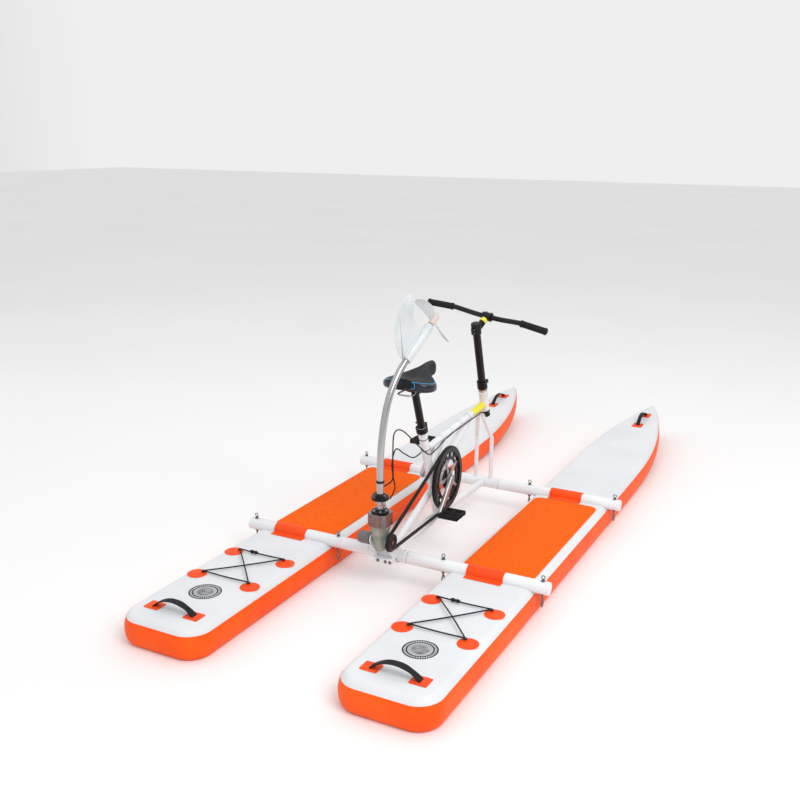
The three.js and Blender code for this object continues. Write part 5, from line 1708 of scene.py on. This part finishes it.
def makeStem():
    bm = bmesh.new()
    low, radius = stem["clamp"]
    top = post["top"] + stem["clampTop"]
    floor = top - stem["cap"]
    postBore, barBore = stem["bore"]
    profile = [
        (postBore, low), (radius - 1, low), (radius, low + 1), (radius, top - 4), (radius - 1.4, top - 1.4),
        (radius - 4, top), (0, top), (0, floor), (postBore, floor), (postBore, low),
    ]
    addLathe(bm, profile, headLow, headUp, 48)
    height = post["top"] + stem["rise"]
    barSpot = onSteer(0, stem["ahead"], height)
    addTube(bm, onSteer(0, 0, post["top"] - stem["rise"]), barSpot, *stem["radii"], sides=40)
    half, outer = stem["bar"]
    addLathe(bm, ringProfile(barBore, outer, -half, half), barSpot, steerSide, 48)
    lugAhead, lugRise = stem["lugAt"]
    turn = Matrix((steerSide, steerAhead, headUp)).transposed().to_4x4()
    addBlock(bm, stem["lug"], onSteer(0, lugAhead, (low + top) / 2 + lugRise), turn)
    finishPiece("stemBody", bm, "handlebar_group", blackPaint, ["stem"])
    bolts = bmesh.new()
    apart, ahead, rise = stem["faceBolts"]
    for across in (-apart, apart):
        for lift in (-rise, rise):
            foot = onSteer(across, stem["ahead"] + ahead, height + lift)
            addBolt(bolts, foot, steerAhead, *stem["faceBolt"])
    half, radius = stem["clampBolt"]
    for lift in stem["clampBolts"]:
        start, end = (onSteer(across, lugAhead, low + lift) for across in (-half, half))
        addTube(bolts, start, end, radius, sides=20)
    finishPiece("stemBolts", bolts, "handlebar_group", stainless)
    band = bmesh.new()
    near, far = (onSteer(0, reach, post["top"] + lift) for reach, lift in stem["band"])
    addTube(band, near, far, *stem["bandRadii"], sides=40)
    finishPiece("stemBand", band, "handlebar_group", yellowTape)


def handlebarPoints():  # each bend is (share of the half, swept back, lifted)
    halves = []
    for sign in (-1, 1):
        half = []
        for share, sweep, lift in barShape["bends"]:
            reach = sign * share * barShape["half"]
            half.append(onSteer(reach, stem["ahead"] - sweep, post["top"] + stem["rise"] + lift))
        halves.append(half)
    return [*reversed(halves[0]), *halves[1]]


def makeHandlebar():
    bm = bmesh.new()
    points = handlebarPoints()
    loftRows(bm, tubeRows(smoothPath(points, 10), barShape["radius"], 36))
    finishPiece("barTube", bm, "handlebar_group", blackPaint, ["handlebar"], crease=50)
    profile = list(grip["end"])
    for rib in range(grip["ribs"]):
        start = (rib + 1) * grip["pitch"]
        profile += [(radius, start + along) for radius, along in grip["rib"]]
    profile += [*grip["mouth"], grip["end"][0]]
    for label, end, near in (("port", points[0], points[1]), ("starboard", points[-1], points[-2])):
        cover = bmesh.new()
        addLathe(cover, profile, end, near - end, 40)
        nodes = [f"grip_{label}"]
        finishPiece(
            f"gripCover_{label}", cover, "handlebar_group", gripRubber, nodes, crease=30
        )


makeSteerer()
makeLever("postLeverArm", "post_lever", onSteer(0, lever["pivot"], steerer["ear"][0]), headUp, -steerSide)
makePost()
makeStem()
makeHandlebar()
print("steering made")

# seat
seat = {
    "clamp": (430, 453, 24),
    "clampBore": 18.2,
    "ear": (18.6, 27, 8.6),
    "lip": ((16.2, 453.4), (17.6, 453.4), (17.6, 455.4), (16.2, 456), (16.2, 453.4)),
    "post": (15.4, 270, 627),
    "cradle": (26, 10),
    "rail": (3.5, 22, 718),
    "jaw": (13, 34),
    "jaws": ((8, -5.6), (3, 1.6)),
}
seatAhead = Vector((0, seatUp.z, -seatUp.y))
saddle = {
    "rear": 952,
    "length": 250,
    "half": 107,
    "nose": 26,
    "top": 800,
    "thick": 50,
    "dip": 6,
    "drop": 24,
    "crown": 4,
    "steps": 72,
    "sides": 80,
    "centre": 42,
    "square": 0.62,  # the power that squares the section
    "channel": (5.5, 14),  # depth and half width
    "notch": (13, 26),
    "panelShare": 0.46,
}
piping = {
    "radius": 1.5,
    "proud": 0.2,
    "rise": 8,  # steps up the inner end, and then round the top
    "run": 40,
    "angles": (-60, 52, 30),
    "easing": 1.6,
}


def makeSeatClamp():
    low, high, radius = seat["clamp"]
    bm = bmesh.new()
    addLathe(bm, ringProfile(seat["clampBore"], radius, low, high), seatLow, seatUp, 48)
    middle = onSeat((low + high) / 2)
    near, far, earRadius = seat["ear"]
    addTube(bm, middle + seatAhead * near * mm, middle + seatAhead * far * mm, earRadius, sides=32)
    finishPiece("seatCollar", bm, "base", blackPaint, ["seat_clamp"])
    makeLever("seatLeverArm", "seat_lever", middle + seatAhead * lever["pivot"] * mm, seatUp, -side)
    lip = bmesh.new()
    addLathe(lip, seat["lip"], seatLow, seatUp, 48)
    finishPiece("seatLip", lip, "base", gripRubber)


def makeSeatPost():
    radius, low, high = seat["post"]
    bm = bmesh.new()
    addTube(bm, onSeat(low), onSeat(high), radius, sides=48)
    finishPiece("seatPostTube", bm, "seat", blackPaint, ["seat_post"])
    head = bmesh.new()
    top = onSeat(high)
    half, cradleRadius = seat["cradle"]
    addTube(head, beside(top, -half), beside(top, half), cradleRadius, sides=36)
    wire, apart, railHeight = seat["rail"]
    middle = top.y / mm + hullLength / 2
    for sign in (-1, 1):
        for thick, lift in seat["jaws"]:
            addBlock(head, (*seat["jaw"], thick), place(sign * apart, middle, railHeight + lift))
    softenEdges(head, 1, 2, 50)
    finishPiece("saddleClamp", head, "seat", blackPaint)
    rails = bmesh.new()
    course = [(20, 1150, 13), (21, 1128, 2), (apart, 1104, 0), (apart, 1050, 0), (24, 1010, 0)]
    course += [(30, 984, -3), (27, 966, -4), (12, 958, -4)]
    wireRun = [place(-x, forward, railHeight + lift) for x, forward, lift in course]
    wireRun += [place(x, forward, railHeight + lift) for x, forward, lift in reversed(course)]
    loftRows(rails, tubeRows(smoothPath(wireRun, 6), wire, 20))
    finishPiece("saddleRails", rails, "seat", stainless, crease=50)


def smoothstep(value, low, high):
    share = min(1, max(0, (value - low) / (high - low)))
    return share * share * (3 - 2 * share)


def saddleSpot(share, angle, grow=0.0):  # share runs from the back of the saddle to its nose
    opening = math.sqrt(max(0, 1 - (1 - min(1, share / 0.22)) ** 2))
    nose = 1 - smoothstep(share, 0.25, 0.72)
    closing = math.sqrt(max(0, 1 - max(0, (share - 0.88) / 0.12) ** 2))
    wide = saddle["nose"] + (saddle["half"] - saddle["nose"]) * nose
    half = wide * (0.45 + 0.55 * opening) * (0.4 + 0.6 * closing) + grow
    deep = saddle["thick"] * (0.64 + 0.36 * opening) * (0.55 + 0.45 * closing) + grow
    dip = saddle["dip"] * math.sin(share * math.pi) + saddle["drop"] * nose
    across = math.copysign(abs(math.cos(angle)) ** saddle["square"], math.cos(angle))
    rise = math.copysign(abs(math.sin(angle)) ** saddle["square"], math.sin(angle))
    depth, reach = saddle["channel"]
    groove = 0.0
    if rise > 0:
        channel = math.exp(-((across * half / reach) ** 2))
        groove = depth * channel * smoothstep(share, 0.0, 0.16) * (1 - smoothstep(share, 0.6, 0.85))
    height = saddle["top"] - dip - deep / 2 + deep / 2 * rise - saddle["crown"] * across**2
    depth, reach = saddle["notch"]
    notch = depth * math.exp(-((across * half / reach) ** 2)) * (1 - smoothstep(share, 0.0, 0.2))
    return place(half * across, saddle["rear"] + saddle["length"] * share + notch, height - groove)


def pipingStop(index, sign):  # the edge of a rear panel: up its inner end, then round its top
    low, high, drop = piping["angles"]
    if index < piping["rise"]:
        share, angle = 0.0, math.radians(low + (high - low) * index / piping["rise"])
    else:
        along = (index - piping["rise"]) / piping["run"]
        share = saddle["panelShare"] * along ** piping["easing"]
        angle = math.radians(high - (high - drop) * min(1, along * piping["easing"]))
    return share, (angle if sign > 0 else math.pi - angle)


def makeSaddle():
    bm = bmesh.new()
    rows = []
    angles = [corner / saddle["sides"] * math.tau for corner in range(saddle["sides"])]
    for step in range(saddle["steps"] + 1):
        share = 0.5 - 0.5 * math.cos(step / saddle["steps"] * math.pi)
        rows.append([saddleSpot(share, angle) for angle in angles])
    loftRows(bm, rows)
    stops = range(piping["rise"] + piping["run"] + 1)
    edge = [saddleSpot(*pipingStop(index, 1)) for index in stops[piping["rise"]:]]
    for face in bm.faces:  # the glossy rear panels lie below the piping
        middle = face.calc_center_median()
        near = min(edge, key=lambda point: abs(point.y - middle.y))
        forward = middle.y / mm + hullLength / 2 - saddle["rear"]
        outside = abs(middle.x) > saddle["centre"] * mm
        atRear = forward < saddle["panelShare"] * saddle["length"]
        face.material_index = int(outside and atRear and middle.z < near.z)
    covers = [saddleCover, saddlePanel]
    piece = finishPiece("saddleTop", bm, "seat", covers, ["saddle"], crease=75)
    for label, sign in boards:
        bm = bmesh.new()
        path = [saddleSpot(*pipingStop(index, sign), piping["proud"]) for index in stops]
        loftRows(bm, tubeRows(path, piping["radius"], 12))
        finishPiece(f"saddlePiping_{label}", bm, "seat", bluePiping, crease=80)


makeSeatClamp()
makeSeatPost()
makeSaddle()
print("seat made")

# drive
wheel = {
    "inner": 38,
    "outer": 54,
    "groove": 126.4,
    "flange": 130,
    "depth": 18,
    "hub": 26,
    "bore": 9.4,
    "slots": 15,
    "web": (78, 90),
    "webHalf": 3,
    "spokeHalf": 2.5,
    "spokeShare": 0.4,
}
spider = {
    "arms": 5,
    "arm": ((14, 10), (78, 5.5), (89, 7)),
    "plate": (3.2, 4.6),
    "disc": (22, 4.5),
    "boss": 24,
    "bolt": (3.6, 2.4),
    "boltSunk": 0.1,
}
spindle = {"half": 73.6, "radius": 9, "nut": (66, 73.8, 7.5), "cup": (33.4, 36.6, 19)}
crank = {"length": 151, "angle": math.radians(43.6), "inner": 59, "thick": 13, "boss": 17, "end": 12}
pedal = {
    "width": 84,
    "length": 86,
    "gap": 3,
    "rail": (14, 18),
    "railAt": 36,
    "rib": (10, 16),
    "ribIn": 5,
    "core": 9.6,
    "stud": (4.5, 3, 19.6),
    "studRows": (-39, -33, 33, 39),
    "studs": (6, 9, 9),
    "axle": (0.6, 2, 4.9),
    "nut": (-2.6, -0.2, 7.5),
}


def wheelOut(angle):
    return Vector((0, math.cos(angle), math.sin(angle)))


def sectorOutline(inner, outer, start, spread, x, steps=10):
    points = []
    for radius, order in ((outer, range(steps + 1)), (inner, range(steps, -1, -1))):
        for step in order:
            out = wheelOut(start + spread * step / steps)
            points.append(beside(crankCentre, x) + out * radius * mm)
    return points


def makeWheel():
    bm = bmesh.new()
    centre = beside(crankCentre, 0)
    inner, outer, groove, lip = (wheel[key] for key in ("inner", "outer", "groove", "flange"))
    rim = groove - wheel["depth"]
    profile = [
        (rim, inner + 1), (rim + 1, inner), (lip - 0.5, inner), (lip, inner + 0.8), (lip, inner + 1.4),
        (groove, inner + 2.2), (groove, outer - 2.2), (lip, outer - 1.4), (lip, outer - 0.8),
        (lip - 0.5, outer), (rim + 1, outer), (rim, outer - 1), (rim, inner + 1),
    ]
    addLathe(bm, profile, centre, side, 96)
    middle = (inner + outer) / 2
    webHalf, spokeHalf = wheel["webHalf"], wheel["spokeHalf"]
    hub, bore = wheel["hub"], wheel["bore"]
    bossRing = hub + wheel["depth"]
    near, far = middle - spokeHalf, middle + spokeHalf
    profile = [
        (bore, inner), (hub - 1, inner), (hub, inner + 1), (hub, near), (bossRing, near), (bossRing, far),
        (hub, far), (hub, outer - 1), (hub - 1, outer), (bore, outer), (bore, inner),
    ]
    addLathe(bm, profile, centre, side, 64)
    low, high = wheel["web"]
    near, far = middle - webHalf, middle + webHalf
    addLathe(bm, [(low, near), (low, far), (high, far), (high, near), (low, near)], centre, side, 96)
    pitch = math.tau / wheel["slots"]
    for index in range(wheel["slots"]):
        spread = wheel["spokeShare"] * pitch
        outline = sectorOutline(high - 1, rim + 3, index * pitch, spread, middle - spokeHalf)
        addPlate(bm, outline, side * 2 * spokeHalf * mm, 0.8, 2, 60)
    finishPiece("driveWheelRim", bm, "crankset", wheelPlastic, ["drive_wheel"])


def makeSpider():
    bm = bmesh.new()
    centre = beside(crankCentre, 0)
    bore, outer = wheel["bore"], wheel["outer"]
    radius, thick = spider["disc"]
    low, high = outer + 0.1, outer + 0.1 + thick
    profile = [
        (bore, low), (radius - 1, low), (radius, outer + 1), (radius, outer + 3), (radius - 2, high),
        (bore, high), (bore, low),
    ]
    addLathe(bm, profile, centre, side, 48)
    middle = (wheel["inner"] + outer) / 2
    lift, plateThick = spider["plate"]
    start = middle + wheel["webHalf"]
    profile = [(bore, start), (spider["boss"], start), (radius, low), (bore, low), (bore, start)]
    addLathe(bm, profile, centre, side, 48)
    arm = spider["arm"]
    corners = [(r, -half) for r, half in arm] + [(r, half) for r, half in reversed(arm)]
    foot = beside(crankCentre, middle + lift)
    boltRadius = sum(wheel["web"]) / 2
    face = side * (plateThick - spider["boltSunk"]) * mm
    for index in range(spider["arms"]):
        out = wheelOut((index + 0.5) / spider["arms"] * math.tau)
        across = side.cross(out)
        spots = [foot + (out * r + across * w) * mm for r, w in corners]
        addPlate(bm, spots, side * plateThick * mm, 1.2, 3, 50)
        addBolt(bm, foot + out * boltRadius * mm + face, side, *spider["bolt"])
    finishPiece("driveWheelSpider", bm, "crankset", crankAlloy)


def makeSpindle():
    bm = bmesh.new()
    half, radius = spindle["half"], spindle["radius"]
    addTube(bm, beside(crankCentre, -half), beside(crankCentre, half), radius, sides=36)
    start, end, nut = spindle["nut"]
    low, high, cup = spindle["cup"]
    profile = [(radius, low), (cup, low), (cup, 35), (cup - 2, high), (radius, high), (radius, low)]
    for sign in (-1, 1):
        addTube(bm, beside(crankCentre, sign * start), beside(crankCentre, sign * end), nut, sides=6)
        addLathe(bm, profile, beside(crankCentre, 0), side * sign, 48)
    finishPiece("crankSpindle", bm, "crankset", stainless, ["crank_spindle"])


makeWheel()
makeSpider()
makeSpindle()

pulley = {"groove": 28.4, "flange": 33, "dish": (24, 22, 13, 12), "shaft": (8, 6), "nut": (3, 0.2, 7)}
belt = {"gap": 0.4, "thick": 7, "width": 12.4, "bevel": 1.4}


def makePulley():
    bm = bmesh.new()
    inner, outer = wheel["inner"], wheel["outer"]
    groove, lip = pulley["groove"], pulley["flange"]
    brim, wall, floor, boss = pulley["dish"]
    profile = [
        (0, inner), (lip - 0.5, inner), (lip, inner + 0.6), (lip, inner + 1.4), (groove, inner + 2.2),
        (groove, outer - 2.2), (lip, outer - 1.4), (lip, outer - 0.6), (lip - 0.5, outer), (brim, outer),
        (wall, outer - 2.4), (floor, outer - 2.4), (boss, outer - 0.6), (0, outer - 0.6),
    ]
    addLathe(bm, profile, beside(tiltCentre, 0), side, 64)
    start, radius = pulley["shaft"]
    addTube(bm, beside(tiltCentre, start), beside(tiltCentre, inner), radius, sides=28)
    finishPiece("legPulley", bm, "input_pulley", wheelPlastic, ["input_pulley"])
    nut = bmesh.new()
    deep, shallow, radius = pulley["nut"]
    addTube(nut, beside(tiltCentre, outer - deep), beside(tiltCentre, outer - shallow), radius, sides=6)
    finishPiece("legPulleyNut", nut, "input_pulley", stainless)


makePulley()


def beltLine(big, small, steps=96):  # (centre, outward) round both wheels
    reach = crankCentre.y - tiltCentre.y
    rise = crankCentre.z - tiltCentre.z
    course = math.atan2(rise, reach)
    lean = math.acos((big - small) * mm / math.hypot(reach, rise))
    stations = []
    for centre, start, spread, count in (
        (crankCentre, course + math.pi + lean, math.tau - 2 * lean, steps),
        (tiltCentre, course + math.pi - lean, 2 * lean, steps // 3),
    ):
        for step in range(count + 1):
            stations.append((centre, wheelOut(start + spread * step / count)))
    return stations


def makeBelt():
    big = wheel["groove"] + belt["gap"]
    small = pulley["groove"] + belt["gap"]
    middle = (wheel["inner"] + wheel["outer"]) / 2
    half, thick, cut = belt["width"] / 2, belt["thick"], belt["bevel"]
    section = [
        (-half, 0), (half, 0), (half, thick - cut), (half - cut, thick), (cut - half, thick),
        (-half, thick - cut),
    ]
    rows = []
    for centre, out in beltLine(big, small):
        radius = big if centre is crankCentre else small
        foot = beside(centre, middle) + out * radius * mm
        rows.append([foot + (side * x + out * r) * mm for x, r in section])
    rows.append([point.copy() for point in rows[0]])
    bm = bmesh.new()
    loftRows(bm, rows, capped=False)
    finishPiece("beltLoop", bm, "base", beltRubber, ["drive_belt"])


makeBelt()


def pedalCentre(sign):
    out = Vector((0, -math.sin(crank["angle"]), -math.cos(crank["angle"])))
    return crankCentre + out * sign * crank["length"] * mm


def makeCrank(label, sign):
    centre = pedalCentre(sign)
    start = (crankCentre.y / mm, crankCentre.z / mm)
    end = (centre.y / mm, centre.z / mm)
    thick, boss, tip = crank["thick"], crank["boss"], crank["end"]
    rows = []
    for depth, cut in ((0, 1.2), (1.6, 0), (thick - 3, 0), (thick, 2.4)):
        outline = capsuleOutline(start, end, boss - cut, tip - cut, 28)
        x = sign * (crank["inner"] + depth)
        rows.append([Vector((x, y, z)) * mm for y, z in outline])
    bm = bmesh.new()
    loftRows(bm, rows)
    nodes = [f"crank_{label}"]
    finishPiece(f"crankArm_{label}", bm, "crankset", crankAlloy, nodes, crease=30)


def makePedal(label, sign):
    centre = pedalCentre(sign)
    crankFace = crank["inner"] + crank["thick"]
    inner = crankFace + pedal["gap"]
    outer = inner + pedal["width"]
    middle = (inner + outer) / 2

    def at(x, y=0):
        return beside(centre, sign * x) + toBow * y * mm

    bm = bmesh.new()
    for y in (-pedal["railAt"], pedal["railAt"]):
        addBlock(bm, (pedal["width"], *pedal["rail"]), at(middle, y))
    wide, high = pedal["rib"]
    for x in (inner + pedal["ribIn"], middle, outer - pedal["ribIn"]):
        addBlock(bm, (wide, pedal["length"] - 12, high), at(x))
    addTube(bm, at(inner), at(outer), pedal["core"], sides=32)
    softenEdges(bm, 1.6, 3, 50)
    first, pitch, count = pedal["studs"]
    for y in pedal["studRows"]:
        for index in range(count):
            addBlock(bm, pedal["stud"], at(inner + first + index * pitch, y))
    body = f"pedal_{label}"
    finishPiece(f"pedalBody_{label}", bm, body, gripRubber, [body])
    axle = bmesh.new()
    start, past, radius = pedal["axle"]
    addTube(axle, at(crank["inner"] + start), at(inner + past), radius, sides=28)
    start, end, radius = pedal["nut"]
    addTube(axle, at(inner + start), at(inner + end), radius, sides=6)
    finishPiece(f"pedalAxle_{label}", axle, body, stainless)


for label, sign in boards:
    makeCrank(label, sign)
    makePedal(label, sign)
print("drive made")

# control cables along the frame, with their clips: (across, forward, height) from the head to the leg
cable = {
    "radius": 2.5,
    "steps": 10,
    "steer": (
        (27, 1718, 446), (23, 1672, 472), (21, 1600, 470), (16.4, 1420, 459), (19, 1290, 450),
        (26, 1200, 438), (30, 1120, 440), (20, 1040, 500), (12, 930, 585), (14, 862, 596),
        (22, 834, 540), (26, 830, 440), (30, 836, 392), (37.5, 786, 367.5),
    ),
    "return": (
        (-27, 1718, 446), (-23, 1672, 472), (-21, 1600, 470), (-16.4, 1420, 459), (-19, 1290, 450),
        (-28, 1200, 428), (-30, 1110, 420), (-16, 1000, 470), (0, 900, 520), (10, 850, 480),
        (16, 842, 420), (-26, 836, 382), (-37.5, 786, 367.5),
    ),
}


def makeCable(name):
    route = smoothPath([place(*point) for point in cable[name]], cable["steps"])
    bm = bmesh.new()
    loftRows(bm, tubeRows(route, cable["radius"], 16))
    line = finishPiece(f"{name}Line", bm, None, cordCover, [f"{name}_cable"], crease=60)
    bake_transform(line)


for name in ("steer", "return"):
    makeCable(name)

clips = {
    "forward": (1560, 1470, 1380, 1290),
    "radius": 14.6,
    "wire": 1.3,
    "swell": 2.4,  # more on the wider tube behind the head
    "swellFrom": 1500,
    "eye": (3.6, 1.0),
    "eyeAt": 17.4,
    "along": (0, 1, 0.075),
}
cableTie = {"at": (345, 398), "ring": (18.8, 1.4)}


def makeClips():
    bm = bmesh.new()
    front, back = frameTubes["mainTube"][:2]
    along = Vector(clips["along"])
    for forward in clips["forward"]:
        share = (place(0, forward, 0).y - back.y) / (front.y - back.y)
        centre = back.lerp(front, share)
        swell = clips["swell"] if forward > clips["swellFrom"] else 0
        addRing(bm, centre, along, clips["radius"] + swell, clips["wire"], 48, 10)
        for sign in (-1, 1):
            addRing(bm, centre + side * sign * clips["eyeAt"] * mm, along, *clips["eye"], 24, 8)
    finishPiece("cableClips", bm, "base", milkPlastic)
    bm = bmesh.new()
    for distance in cableTie["at"]:
        addRing(bm, onSeat(distance), seatUp, *cableTie["ring"], 48, 8)
    finishPiece("cableTies", bm, "base", gripRubber)


makeClips()
print("cables made")


# floor and light
stage = {
    "floor": 30,
    "floorTone": (0.86, 0.88),
    "sky": ((0.7, 1.0), (0.95, 0.6)),
    "skyStrength": 0.86,
    "aim": (0, 0, 0.3),
    "lights": (
        ("keyLight", (3.4, -2.6, 4.2), 3.0, 130),
        ("fillLight", (-4.2, -1.6, 3.2), 4.5, 20),
        ("topLight", (0.4, 1.6, 4.8), 5.0, 30),
    ),
}


def makeFloor():
    floor = bmesh.new()
    bmesh.ops.create_grid(floor, x_segments=1, y_segments=1, size=stage["floor"])
    mesh = bpy.data.meshes.new("studioFloor")
    floor.to_mesh(mesh)
    floor.free()
    dark, light = ((tone, tone, tone) for tone in stage["floorTone"])
    material, shader, where = startFinish("floorPaint", dark, 0.7)
    blotch(material, shader, where, dark, light, 0.6)
    mesh.materials.append(material)
    ground = bpy.data.objects.new("studioFloor", mesh)
    bpy.context.scene.collection.objects.link(ground)


def makeSky():
    world = bpy.data.worlds.new("studioSky")
    world.use_nodes = True
    tree = world.node_tree
    where = tree.nodes.new("ShaderNodeTexCoord")
    split = tree.nodes.new("ShaderNodeSeparateXYZ")
    spread = tree.nodes.new("ShaderNodeMath")
    spread.operation = "ABSOLUTE"
    fade = tree.nodes.new("ShaderNodeValToRGB")
    for stop, (position, tone) in zip(fade.color_ramp.elements, stage["sky"]):
        stop.position = position
        stop.color = (tone, tone, tone, 1)
    tree.links.new(where.outputs["Generated"], split.inputs[0])
    tree.links.new(split.outputs["X"], spread.inputs[0])
    tree.links.new(spread.outputs[0], fade.inputs["Fac"])
    tree.links.new(fade.outputs["Color"], tree.nodes["Background"].inputs["Color"])
    tree.nodes["Background"].inputs["Strength"].default_value = stage["skyStrength"]
    bpy.context.scene.world = world
    bpy.context.scene.view_settings.view_transform = "Standard"


def makeLights():
    for name, spot, size, power in stage["lights"]:
        data = bpy.data.lights.new(name, "AREA")
        data.size = size
        data.energy = power
        lamp = bpy.data.objects.new(name, data)
        lamp.location = spot
        aim = Vector(stage["aim"]) - Vector(spot)
        lamp.rotation_euler = aim.to_track_quat("-Z", "Y").to_euler()
        bpy.context.scene.collection.objects.link(lamp)


makeFloor()
makeSky()
makeLights()
print("stage made")
